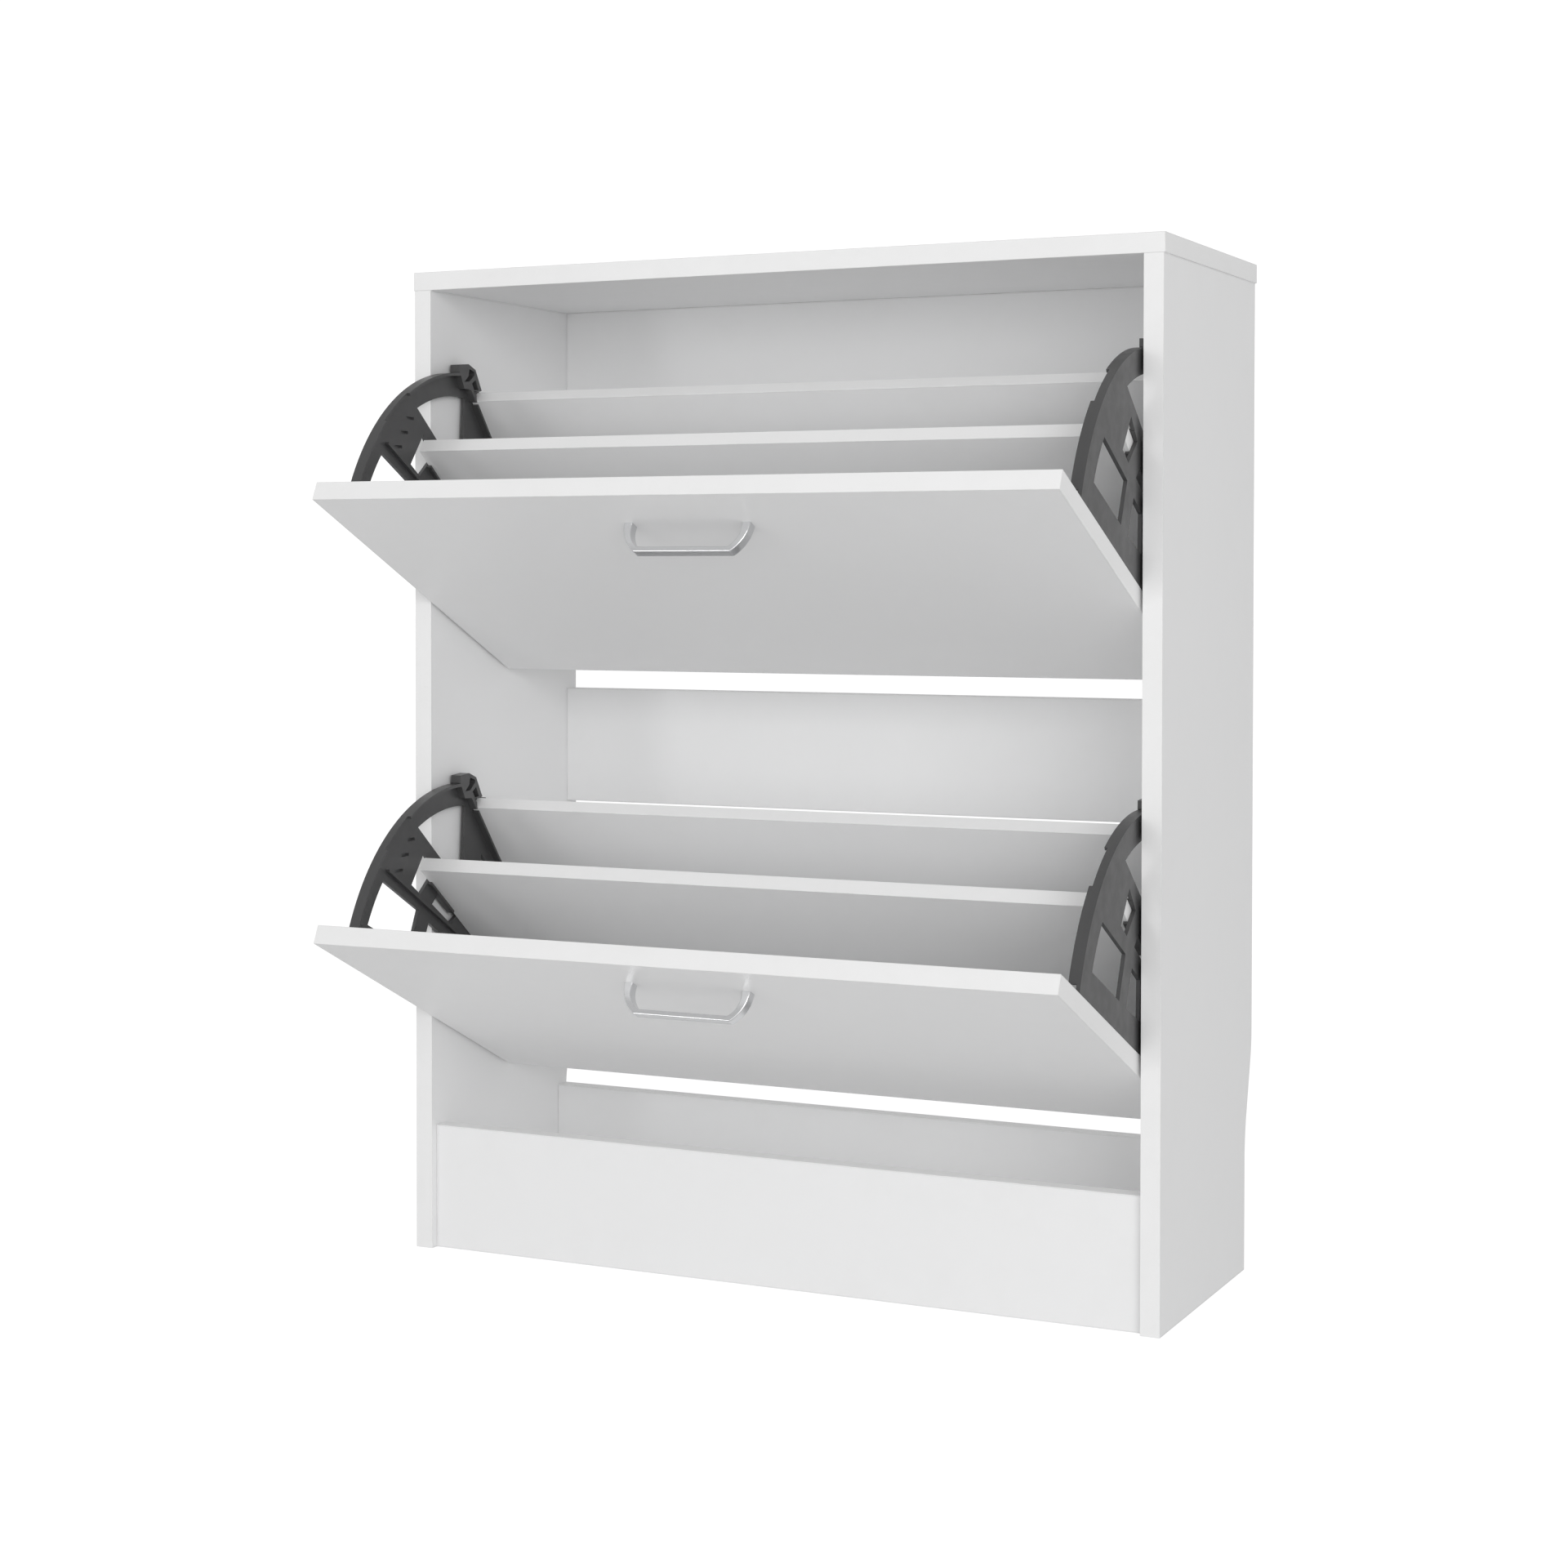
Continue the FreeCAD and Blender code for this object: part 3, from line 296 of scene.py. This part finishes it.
def acetal():
    """Turned-looking plastic of the bushes and pegs, a little glossier than the brackets."""
    finish = Finish("bush_acetal", Specular_IOR_Level=0.5)
    tree = finish.tree
    rings = noise(tree, finish.stretched((2600.0, 90.0, 90.0)), 1.0, 2.0)
    finish.feed("Base Color", blend_colour(tree, rings, ACETAL_DEEP, ACETAL_PALE))
    finish.feed("Roughness", spread(tree, rings, 0.3, 0.7, 0.30, 0.40))
    finish.bump(rings, 0.02 * MM, 0.5)
    return finish.material


def beech():
    """Pressed beech of the dowels, with grain and fine rays."""
    finish = Finish("dowel_beech", Specular_IOR_Level=0.3)
    tree = finish.tree
    grain = noise(tree, finish.stretched((40.0, 700.0, 700.0)), 1.0, 5.0, 0.65, 0.4)
    rays = spread(tree, noise(tree, finish.stretched((260.0, 1500.0, 1500.0)), 1.0, 2.0), 0.58, 0.7)
    colour = blend_colour(tree, grain, BEECH_DEEP, BEECH_PALE)
    finish.feed("Base Color", blend_colour(tree, math_node(tree, "MULTIPLY", rays, 0.5), colour, BEECH_RAY))
    finish.feed("Roughness", spread(tree, grain, 0.3, 0.7, 0.55, 0.7))
    finish.bump(grain, 0.08 * MM, 0.6)
    return finish.material


FINISHES = {
    "white_board": white_board(),
    "black_plastic": black_plastic(),
    "handle_metal": metal("handle_satin_chrome", dark=(0.70, 0.705, 0.715), light=(0.76, 0.765, 0.775),
                          rough=0.20, lines=(9.0, 1800.0, 1800.0), relief=0.004 * MM,
                          wear_colour=(0.90, 0.90, 0.91), wear=0.4),
    "screw_steel": metal("plated_steel", dark=(0.52, 0.53, 0.55), light=(0.66, 0.67, 0.69),
                         rough=0.30, lines=(900.0, 900.0, 900.0), relief=0.02 * MM,
                         wear_colour=(0.74, 0.74, 0.75), wear=0.6),
    "cam_zinc": metal("cast_zinc", dark=(0.40, 0.405, 0.415), light=(0.55, 0.555, 0.565),
                      rough=0.46, lines=(420.0, 420.0, 420.0), relief=0.06 * MM,
                      wear_colour=(0.66, 0.66, 0.67), wear=0.7),
    "bush_plastic": acetal(),
    "dowel_beech": beech(),
}
SLOT_OF = {part["node"]: part["material_slot"] for part in frame["record"]["subparts"]}
BODY_OF = {node: body for body, members in frame["record"]["behaviour"]["bodies"].items()
           for node in members}
for node_name, cad_object in frame["nodes"].items():
    cad_object.data.materials.clear()
    cad_object.data.materials.append(FINISHES[SLOT_OF[node_name]])


# ---------------------------------------------------------------- shared mesh work

def weigh_normals(piece):
    """Lets the broad faces set the shading, so that small features leave no gradients on them."""
    modifier = piece.modifiers.new("weighted", "WEIGHTED_NORMAL")
    modifier.keep_sharp = True
    rough = piece.data
    shaded = bpy.data.meshes.new_from_object(piece.evaluated_get(bpy.context.evaluated_depsgraph_get()))
    piece.modifiers.remove(modifier)
    piece.data = shaded
    bpy.data.meshes.remove(rough)
    shaded.name = piece.name


def place_piece(mesh, name, node):
    """Makes a mesh the piece that stands for a CAD node: finish, body and record slot."""
    mesh.materials.clear()
    mesh.materials.append(FINISHES[SLOT_OF[node]])
    bm = bmesh.new()
    bm.from_mesh(mesh)
    for face in bm.faces:
        face.smooth = True
    for edge in bm.edges:
        edge.smooth = edge.calc_face_angle(math.pi) < CORNER
    bm.to_mesh(mesh)
    bm.free()
    piece = bpy.data.objects.new(name, mesh)
    bpy.context.scene.collection.objects.link(piece)
    weigh_normals(piece)
    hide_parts(node)
    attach(piece, BODY_OF[node])
    return piece


def solid_copy(node):
    """A CAD node's surface as one joined mesh, with each flat face whole."""
    bm = bmesh.new()
    bm.from_mesh(frame["nodes"][node].data)
    bmesh.ops.remove_doubles(bm, verts=bm.verts, dist=MERGE)
    bmesh.ops.dissolve_limit(bm, angle_limit=SAME_PLANE, verts=bm.verts, edges=bm.edges)
    return bm


def round_edges(bm, radius, steps, wanted):
    """Rounds the wanted sharp edges, and marks the narrow faces that this makes as arrises."""
    arris = bm.loops.layers.float.new("arris")
    edges = [e for e in bm.edges
             if len(e.link_faces) == 2 and e.calc_face_angle(0.0) > CORNER and wanted(e)]
    made = bmesh.ops.bevel(bm, geom=edges, offset=radius, offset_type="OFFSET", segments=steps,
                           profile=0.5, affect="EDGES", clamp_overlap=True)
    for face in made["faces"]:
        for loop in face.loops:
            loop[arris] = 1.0


def flap_inward(flap):
    """The direction from a flap's front face into the cabinet, as the flap stands open."""
    joint = next(j for j in frame["joints"] if j["child"] == f"{flap}_flap")
    tilt = math.radians(max(abs(limit) for limit in joint["range_deg"]))
    return Vector((0, math.cos(tilt), math.sin(tilt)))


def piece_from(bm, name, node):
    """Turns finished mesh work into the piece that stands for a CAD node."""
    mesh = bpy.data.meshes.new(name)
    bm.to_mesh(mesh)
    bm.free()
    return place_piece(mesh, name, node)


def softened(node, radius, steps, wanted=lambda edge: True):
    """A node with its wanted sharp edges rounded."""
    bm = solid_copy(node)
    round_edges(bm, radius, steps, wanted)
    return piece_from(bm, node + "_softened", node)


# ---------------------------------------------------------------- boards

BOARD_ARRIS = 0.55 * MM
BOARD_STEPS = 3
BORE_EDGE = 12 * MM
BAND_FACING = 0.35


def faced_board(node):
    """A board with softened arrises, its faces measured from its edges, its bands marked."""
    bm = solid_copy(node)
    round_edges(bm, BOARD_ARRIS, BOARD_STEPS, lambda e: e.calc_length() > BORE_EDGE)
    bm.normal_update()
    broad = max(bm.faces, key=lambda f: f.calc_area())
    through = broad.normal.copy()
    along = max(broad.edges, key=lambda e: e.calc_length())
    along = (along.verts[1].co - along.verts[0].co).normalized()
    across = through.cross(along)
    reach = [[axis.dot(v.co) for v in bm.verts] for axis in (along, across)]
    low, high = [min(r) for r in reach], [max(r) for r in reach]
    near = bm.loops.layers.uv.new("near_edges")
    far = bm.loops.layers.uv.new("far_edges")
    band = bm.loops.layers.float.new("band")
    for face in bm.faces:
        on_edge = 1.0 if abs(face.normal.dot(through)) < BAND_FACING else 0.0
        for loop in face.loops:
            place = (along.dot(loop.vert.co), across.dot(loop.vert.co))
            loop[near].uv = (place[0] - low[0], place[1] - low[1])
            loop[far].uv = (high[0] - place[0], high[1] - place[1])
            loop[band] = on_edge
    return piece_from(bm, node + "_faced", node)


# ---------------------------------------------------------------- brackets, bushes and handles

BRACKET_ARRIS, BRACKET_STEPS = 0.3 * MM, 2
BUSH_ARRIS, BUSH_STEPS = 0.25 * MM, 2
HANDLE_ARRIS, HANDLE_STEPS = 0.9 * MM, 4
SHORT_EDGE = 0.9 * MM


def moulded_bracket(node):
    """A bracket with the small radii that a mould leaves."""
    return softened(node, BRACKET_ARRIS, BRACKET_STEPS, lambda e: e.calc_length() > SHORT_EDGE)


def strap_handle(flap):
    """A handle of rounded strap, its feet left square where they meet the door."""
    node = f"{flap}_handle"
    inward = flap_inward(flap)
    foot = max(inward.dot(v.co) for v in frame["nodes"][node].data.vertices) - HANDLE_ARRIS / 2
    return softened(node, HANDLE_ARRIS, HANDLE_STEPS,
                    lambda e: min(inward.dot(v.co) for v in e.verts) < foot and e.calc_length() > SHORT_EDGE)


# ---------------------------------------------------------------- fasteners

def islands(node):
    """The separate solids of a CAD node, each as a list of its points."""
    bm = bmesh.new()
    bm.from_mesh(frame["nodes"][node].data)
    bmesh.ops.remove_doubles(bm, verts=bm.verts, dist=MERGE)
    left, found = set(bm.verts), []
    while left:
        reached, solid = [left.pop()], []
        while reached:
            vert = reached.pop()
            solid.append(vert.co.copy())
            for edge in vert.link_edges:
                other = edge.other_vert(vert)
                if other in left:
                    left.remove(other)
                    reached.append(other)
        found.append(solid)
    bm.free()
    middles = [tuple(round(c, ORDER_DIGITS) for c in sum(solid, Vector()) / len(solid)) for solid in found]
    return [found[place] for place in sorted(range(len(found)), key=middles.__getitem__)]


def far_end(points, heading):
    """The middle of the end face of a round solid, on the side that the heading points to."""
    side = heading.orthogonal().normalized()
    other = heading.cross(side)
    middle = [(min(a.dot(p) for p in points) + max(a.dot(p) for p in points)) / 2 for a in (side, other)]
    return heading * max(heading.dot(p) for p in points) + side * middle[0] + other * middle[1]


def new_tree(name, sizes):
    """A Geometry Nodes tree that sets one shape at each point, turned to the point's heading."""
    tree = bpy.data.node_groups.new(name, "GeometryNodeTree")
    face = tree.interface
    face.new_socket(name="Geometry", in_out="INPUT", socket_type="NodeSocketGeometry")
    for size in sizes:
        face.new_socket(name=size, in_out="INPUT", socket_type="NodeSocketFloat")
    face.new_socket(name="Seed", in_out="INPUT", socket_type="NodeSocketInt")
    face.new_socket(name="Finish", in_out="INPUT", socket_type="NodeSocketMaterial")
    face.new_socket(name="Geometry", in_out="OUTPUT", socket_type="NodeSocketGeometry")
    return tree, tree.nodes.new("NodeGroupInput").outputs


def finish_tree(tree, given, shape):
    """Sets the shape at every point, spun at random about its heading, and gives it its finish."""
    heading = add_node(tree, "GeometryNodeInputNamedAttribute", {"Name": "heading"},
                       data_type="FLOAT_VECTOR").outputs["Attribute"]
    turned = add_node(tree, "FunctionNodeAlignRotationToVector", {"Vector": heading}, axis="Z")
    spin = add_node(tree, "FunctionNodeRandomValue", {"Seed": given["Seed"]}, data_type="FLOAT")
    spin_value = [s for s in spin.outputs if s.type == "VALUE"][0]
    [s for s in spin.inputs if s.type == "VALUE" and s.name == "Max"][0].default_value = math.pi
    about = add_node(tree, "FunctionNodeAxisAngleToRotation", {"Axis": (0, 0, 1), "Angle": spin_value})
    both = add_node(tree, "FunctionNodeRotateRotation",
                    {"Rotation": turned.outputs[0], "Rotate By": about.outputs[0]}, rotation_space="LOCAL")
    placed = add_node(tree, "GeometryNodeInstanceOnPoints",
                      {"Points": given["Geometry"], "Instance": shape, "Rotation": both.outputs[0]})
    real = add_node(tree, "GeometryNodeRealizeInstances", {"Geometry": placed.outputs[0]})
    done = add_node(tree, "GeometryNodeSetMaterial",
                    {"Geometry": real.outputs[0], "Material": given["Finish"]})
    tree.links.new(done.outputs[0], tree.nodes.new("NodeGroupOutput").inputs["Geometry"])


ROUND_SIDES = 32


def times(tree, value, factor):
    return math_node(tree, "MULTIPLY", value, factor)


def plus(tree, first, second):
    return math_node(tree, "ADD", first, second)


def minus(tree, first, second):
    return math_node(tree, "SUBTRACT", first, second)


def at_height(tree, shape, height):
    """The shape moved along its own axis."""
    shift = add_node(tree, "ShaderNodeCombineXYZ", {"Z": height}).outputs[0]
    return add_node(tree, "GeometryNodeTransform", {"Geometry": shape, "Translation": shift}).outputs[0]


def frustum(tree, low_radius, high_radius, height, base, sides=ROUND_SIDES):
    """A round solid between two radii that stands on the given base height."""
    cone = add_node(tree, "GeometryNodeMeshCone",
                    {"Vertices": sides, "Radius Bottom": low_radius, "Radius Top": high_radius,
                     "Depth": height}).outputs["Mesh"]
    return at_height(tree, cone, base)


def block(tree, x, y, z, height):
    """A box about the axis whose middle is at the given height."""
    size = add_node(tree, "ShaderNodeCombineXYZ", {"X": x, "Y": y, "Z": z}).outputs[0]
    return at_height(tree, add_node(tree, "GeometryNodeMeshCube", {"Size": size}).outputs["Mesh"], height)


def join(tree, shapes):
    made = tree.nodes.new("GeometryNodeJoinGeometry")
    for shape in shapes:
        tree.links.new(shape, made.inputs[0])
    return made.outputs[0]


def carve(tree, shape, cutters):
    """The shape with the cutters taken out of it."""
    made = tree.nodes.new("GeometryNodeMeshBoolean")
    made.operation, made.solver = "DIFFERENCE", "EXACT"
    tree.links.new(shape, made.inputs["Mesh 1"])
    for cutter in cutters:
        tree.links.new(cutter, made.inputs["Mesh 2"])
    return made.outputs["Mesh"]


CROWN_FROM, SHOULDER_SHARE, CROWN_SHARE = 0.45, 0.94, 0.66
TIP_SHARE, SHANK_SIDES = 0.35, 20
CAM_CHAMFER, ARROW_SIZE, ARROW_PLACE, ARROW_SIDES = 0.06, 0.16, 0.72, 3
DOWEL_CHAMFER, DOWEL_TIP, FLUTES, DOWEL_SIDES = 0.3, 0.8, 14, 28


def cross_arms(tree, given):
    """The two bars that cut a cross recess to the given depth."""
    depth = times(tree, given["Recess Depth"], 2.0)
    return [block(tree, given["Recess Span"], given["Recess Width"], depth, 0.0),
            block(tree, given["Recess Width"], given["Recess Span"], depth, 0.0)]


def make_screw_tree():
    """A screw: crowned pan head with a cross recess, plain shank, pointed or blunt end."""
    tree, given = new_tree("cross_recess_screws", (
        "Head Radius", "Head Height", "Shank Radius", "Shank Length", "Recess Span", "Recess Width",
        "Recess Depth", "Point Length"))
    skirt = times(tree, given["Head Height"], CROWN_FROM)
    crown = minus(tree, given["Head Height"], skirt)
    low = times(tree, given["Head Height"], -1.0)
    shoulder = times(tree, given["Head Radius"], SHOULDER_SHARE)
    top = times(tree, given["Head Radius"], CROWN_SHARE)
    ring = frustum(tree, given["Head Radius"], shoulder, skirt, low)
    dome = frustum(tree, shoulder, top, crown, plus(tree, low, skirt))
    straight = minus(tree, given["Shank Length"], given["Point Length"])
    neck = minus(tree, low, straight)
    shank = frustum(tree, given["Shank Radius"], given["Shank Radius"], straight, neck, SHANK_SIDES)
    tip = times(tree, given["Shank Radius"], TIP_SHARE)
    point = frustum(tree, tip, given["Shank Radius"], given["Point Length"],
                    minus(tree, neck, given["Point Length"]), SHANK_SIDES)
    finish_tree(tree, given, join(tree, [carve(tree, dome, cross_arms(tree, given)), ring, shank, point]))
    return tree


def make_cam_tree():
    """A cam disc: a chamfered rim, a sunk cross for the driver and a pointer beside it."""
    tree, given = new_tree("cam_discs", ("Radius", "Depth", "Recess Span", "Recess Width",
                                         "Recess Depth"))
    chamfer = times(tree, given["Radius"], CAM_CHAMFER)
    inner = minus(tree, given["Radius"], chamfer)
    low = times(tree, given["Depth"], -1.0)
    drum = frustum(tree, given["Radius"], given["Radius"], minus(tree, given["Depth"], chamfer), low)
    rim = frustum(tree, given["Radius"], inner, chamfer, times(tree, chamfer, -1.0))
    arms = cross_arms(tree, given)
    size = times(tree, given["Radius"], ARROW_SIZE)
    arrow = frustum(tree, size, size, times(tree, chamfer, 2.0), times(tree, chamfer, -1.0), ARROW_SIDES)
    aside = add_node(tree, "ShaderNodeCombineXYZ", {"X": times(tree, given["Radius"], ARROW_PLACE)})
    arrow = add_node(tree, "GeometryNodeTransform",
                     {"Geometry": arrow, "Translation": aside.outputs[0]}).outputs[0]
    finish_tree(tree, given, join(tree, [carve(tree, drum, arms), carve(tree, rim, arms + [arrow])]))
    return tree


def make_dowel_tree():
    """A fluted dowel with chamfered ends."""
    tree, given = new_tree("fluted_dowels", ("Radius", "Length", "Flute Depth"))
    chamfer = times(tree, given["Radius"], DOWEL_CHAMFER)
    root = minus(tree, given["Radius"], given["Flute Depth"])
    star = add_node(tree, "GeometryNodeCurveStar", {"Points": FLUTES, "Inner Radius": root,
                                                    "Outer Radius": given["Radius"]}).outputs["Curve"]
    disc = add_node(tree, "GeometryNodeFillCurve", {"Curve": star}, mode="NGONS").outputs["Mesh"]
    straight = minus(tree, given["Length"], times(tree, chamfer, 2.0))
    drawn = add_node(tree, "GeometryNodeExtrudeMesh", {"Mesh": disc, "Offset Scale": straight,
                                                       "Individual": False}, mode="FACES").outputs["Mesh"]
    low = times(tree, plus(tree, straight, chamfer), -1.0)
    closed = add_node(tree, "GeometryNodeFlipFaces", {"Mesh": disc}).outputs["Mesh"]
    tip = times(tree, given["Radius"], DOWEL_TIP)
    ends = [frustum(tree, root, tip, chamfer, times(tree, chamfer, -1.0), DOWEL_SIDES),
            frustum(tree, tip, root, chamfer, times(tree, given["Length"], -1.0), DOWEL_SIDES)]
    finish_tree(tree, given, join(tree, [at_height(tree, drawn, low), at_height(tree, closed, low)] + ends))
    return tree


def make_pin_tree():
    """A plain pin or peg with a chamfer at each end."""
    tree, given = new_tree("chamfered_pins", ("Radius", "Length", "Chamfer"))
    tip = minus(tree, given["Radius"], given["Chamfer"])
    straight = minus(tree, given["Length"], times(tree, given["Chamfer"], 2.0))
    top = times(tree, given["Chamfer"], -1.0)
    shapes = [frustum(tree, given["Radius"], tip, given["Chamfer"], top),
              frustum(tree, given["Radius"], given["Radius"], straight, minus(tree, top, straight)),
              frustum(tree, tip, given["Radius"], given["Chamfer"], times(tree, given["Length"], -1.0))]
    finish_tree(tree, given, join(tree, shapes))
    return tree


def set_out(node, tree, headings, sizes, seed):
    """Sets a fastener at each solid of a CAD node, and makes the lot one plain mesh."""
    points, directions = [], []
    for solid in islands(node):
        middle = sum(solid, Vector()) / len(solid)
        heading = headings(middle)
        points.append(far_end(solid, heading))
        directions.append(heading)
    mesh = bpy.data.meshes.new(node + "_points")
    mesh.from_pydata(points, [], [])
    stored = mesh.attributes.new("heading", "FLOAT_VECTOR", "POINT")
    stored.data.foreach_set("vector", [value for d in directions for value in d])
    holder = bpy.data.objects.new(node + "_points", mesh)
    bpy.context.scene.collection.objects.link(holder)
    modifier = holder.modifiers.new("fasteners", "NODES")
    modifier.node_group = tree
    sockets = {item.name: item.identifier for item in tree.interface.items_tree if item.in_out == "INPUT"}
    for name, value in {**sizes, "Seed": seed, "Finish": FINISHES[SLOT_OF[node]]}.items():
        modifier[sockets[name]] = value
    evaluated = holder.evaluated_get(bpy.context.evaluated_depsgraph_get())
    made = bpy.data.meshes.new_from_object(evaluated)
    bm = bmesh.new()
    bm.from_mesh(made)
    bpy.data.objects.remove(holder)
    bpy.data.meshes.remove(made)
    bpy.data.meshes.remove(mesh)
    bmesh.ops.remove_doubles(bm, verts=bm.verts, dist=MERGE)
    inside = [face for face in bm.faces if all(len(edge.link_faces) > 2 for edge in face.edges)]
    bmesh.ops.delete(bm, geom=inside, context="FACES_ONLY")
    arris = bm.loops.layers.float.new("arris")
    for face in bm.faces:
        for loop in face.loops:
            loop[arris] = 1.0 if loop.edge.calc_face_angle(0.0) > CORNER else 0.0
    return piece_from(bm, node + "_set", node)


# ---------------------------------------------------------------- pieces

TOP_JOINT = 20 * MM


def outward(middle):
    return X_AXIS if middle.x > 0 else -X_AXIS


def inboard(middle):
    return -outward(middle)


def backward(middle):
    return Y_AXIS


def into_joint(middle):
    """Up for what joins the top board, and outward for what joins a rail to a side."""
    return Z_AXIS if middle.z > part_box("top_panel")[0].z - TOP_JOINT else outward(middle)


def sizes_of(**millimetres):
    """A tree's sizes by the names of its sockets, in metres."""
    return {name.replace("_", " "): value * MM for name, value in millimetres.items()}


CARCASS_BOARDS = ("side_panel_left", "side_panel_right", "top_panel", "plinth_board", "back_rail_upper",
                  "back_rail_middle", "back_rail_lower")
FLAP_BOARDS = ("door", "middle_divider", "rear_divider", "toe_board")
for board in CARCASS_BOARDS:
    faced_board(board)
for flap_name in FLAPS:
    for board in FLAP_BOARDS:
        faced_board(f"{flap_name}_{board}")
    for hand in ("left", "right"):
        moulded_bracket(f"{flap_name}_bracket_{hand}")
    strap_handle(flap_name)

SCREWS, CAMS, DOWELS, PINS = make_screw_tree(), make_cam_tree(), make_dowel_tree(), make_pin_tree()
WOOD_SCREW = sizes_of(Head_Radius=3.2, Head_Height=1.8, Shank_Radius=1.7, Recess_Span=3.6,
                      Recess_Width=0.9, Recess_Depth=0.9, Point_Length=4)
HANDLE_SCREW = sizes_of(Head_Radius=4, Head_Height=2.6, Shank_Radius=1.95, Shank_Length=20,
                        Recess_Span=4.6, Recess_Width=1.1, Recess_Depth=1.2, Point_Length=0.6)
BRACKET_SCREW = {**WOOD_SCREW, **sizes_of(Shank_Length=14)}
DIVIDER_SCREW = {**WOOD_SCREW, **sizes_of(Shank_Length=22)}
for number, flap_name in enumerate(FLAPS):
    inward_axis = flap_inward(flap_name)
    for kind, tree_made, headings, sizes, seed in (
            ("handle_screws", SCREWS, lambda middle: inward_axis, HANDLE_SCREW, 11),
            ("bracket_screws", SCREWS, lambda middle: inward_axis, BRACKET_SCREW, 21),
            ("divider_screws", SCREWS, outward, DIVIDER_SCREW, 31),
            ("pivot_pins", PINS, outward, sizes_of(Radius=4, Length=21.5, Chamfer=0.6), 41)):
        set_out(f"{flap_name}_{kind}", tree_made, headings, sizes, seed + number)
set_out("cam_discs", CAMS, backward,
        sizes_of(Radius=7.5, Depth=12, Recess_Span=8, Recess_Width=1.4, Recess_Depth=1.6), seed=51)
set_out("stop_pegs", PINS, inboard, sizes_of(Radius=3, Length=14.7, Chamfer=0.5), seed=61)
set_out("wooden_dowels", DOWELS, into_joint, sizes_of(Radius=4, Length=28, Flute_Depth=0.3), seed=71)
set_out("cam_bolts", PINS, into_joint, sizes_of(Radius=3, Length=30, Chamfer=0.5), seed=81)
softened("pivot_bushes", BUSH_ARRIS, BUSH_STEPS)


# ---------------------------------------------------------------- floor, light, camera

FLOOR_HALF = 30.0
FLOOR_DARK, FLOOR_LIGHT = (0.50, 0.50, 0.50), (0.52, 0.52, 0.52)
FLOOR_GLOW = (0.25, 0.75)
WORLD_SEEN, WORLD_CAST = 1.1, 0.585
DEEP_BOUNCES = 8
SENSOR = 36.0
LENS = 65.22
FAR_CLIP = 200.0
CAMERA_PLACE = (0.9138, -2.0025, 0.5536)
CAMERA_PITCH, CAMERA_YAW = 88.695, 26.674
SHIFT = (0.0751, -0.0925)
# name, place, aim, width and height, watts
LIGHTS = (
    ("front_softbox", (0.9, -3.6, 1.1), (0, 0, 0.42), (3.6, 2.4), 17),
    ("right_softbox", (2.4, -3.0, 1.3), (0, 0, 0.42), (2.0, 1.4), 38),
    ("left_strip", (-1.6, -3.3, 0.6), (0, 0, 0.45), (0.5, 1.5), 10),
)


def seen_brighter(tree, cast, seen):
    """A strength that differs between what the camera sees and what lights the object."""
    ray = tree.nodes.new("ShaderNodeLightPath").outputs["Is Camera Ray"]
    return spread(tree, ray, 0.0, 1.0, cast, seen)


def stage_floor():
    """A plain pale floor that runs out of sight."""
    bm = bmesh.new()
    bmesh.ops.create_grid(bm, x_segments=2, y_segments=2, size=FLOOR_HALF)
    mesh = bpy.data.meshes.new("pale_floor")
    bm.to_mesh(mesh)
    bm.free()
    finish = Finish("pale_floor", Roughness=0.9, Specular_IOR_Level=0.0)
    finish.shader.inputs["Emission Color"].default_value = (1, 1, 1, 1)
    tone = noise(finish.tree, finish.place, 0.8, 3.0)
    finish.feed("Base Color", blend_colour(finish.tree, tone, FLOOR_DARK, FLOOR_LIGHT))
    finish.feed("Emission Strength", seen_brighter(finish.tree, *FLOOR_GLOW))
    mesh.materials.append(finish.material)
    floor = bpy.data.objects.new("pale_floor", mesh)
    bpy.context.scene.collection.objects.link(floor)


def area_light(name, place, target, size, power):
    lamp = bpy.data.lights.new(name, "AREA")
    lamp.shape, lamp.size, lamp.size_y, lamp.energy = "RECTANGLE", size[0], size[1], power
    holder = bpy.data.objects.new(name, lamp)
    holder.location = place
    holder.rotation_euler = (Vector(target) - Vector(place)).to_track_quat("-Z", "Y").to_euler()
    bpy.context.scene.collection.objects.link(holder)


def set_world(seen, cast):
    """White all round: bright behind the object, softer as a light."""
    world = bpy.data.worlds.new("white_studio")
    world.use_nodes = True
    tree = world.node_tree
    back = tree.nodes["Background"]
    back.inputs["Color"].default_value = (1, 1, 1, 1)
    tree.links.new(seen_brighter(tree, cast, seen), back.inputs["Strength"])
    bpy.context.scene.world = world


def set_camera():
    """A camera in front and to the right, at two thirds of the cabinet's height."""
    camera = bpy.data.cameras.new("camera")
    camera.sensor_width, camera.lens, camera.clip_end = SENSOR, LENS, FAR_CLIP
    camera.shift_x, camera.shift_y = SHIFT
    holder = bpy.data.objects.new("camera", camera)
    holder.location = CAMERA_PLACE
    holder.rotation_euler = (math.radians(CAMERA_PITCH), 0.0, math.radians(CAMERA_YAW))
    bpy.context.scene.collection.objects.link(holder)
    bpy.context.scene.camera = holder


stage_floor()
set_world(WORLD_SEEN, WORLD_CAST)
for light in LIGHTS:
    area_light(*light)
set_camera()
bpy.context.scene.cycles.diffuse_bounces = DEEP_BOUNCES
bpy.context.scene.view_settings.view_transform = "Standard"
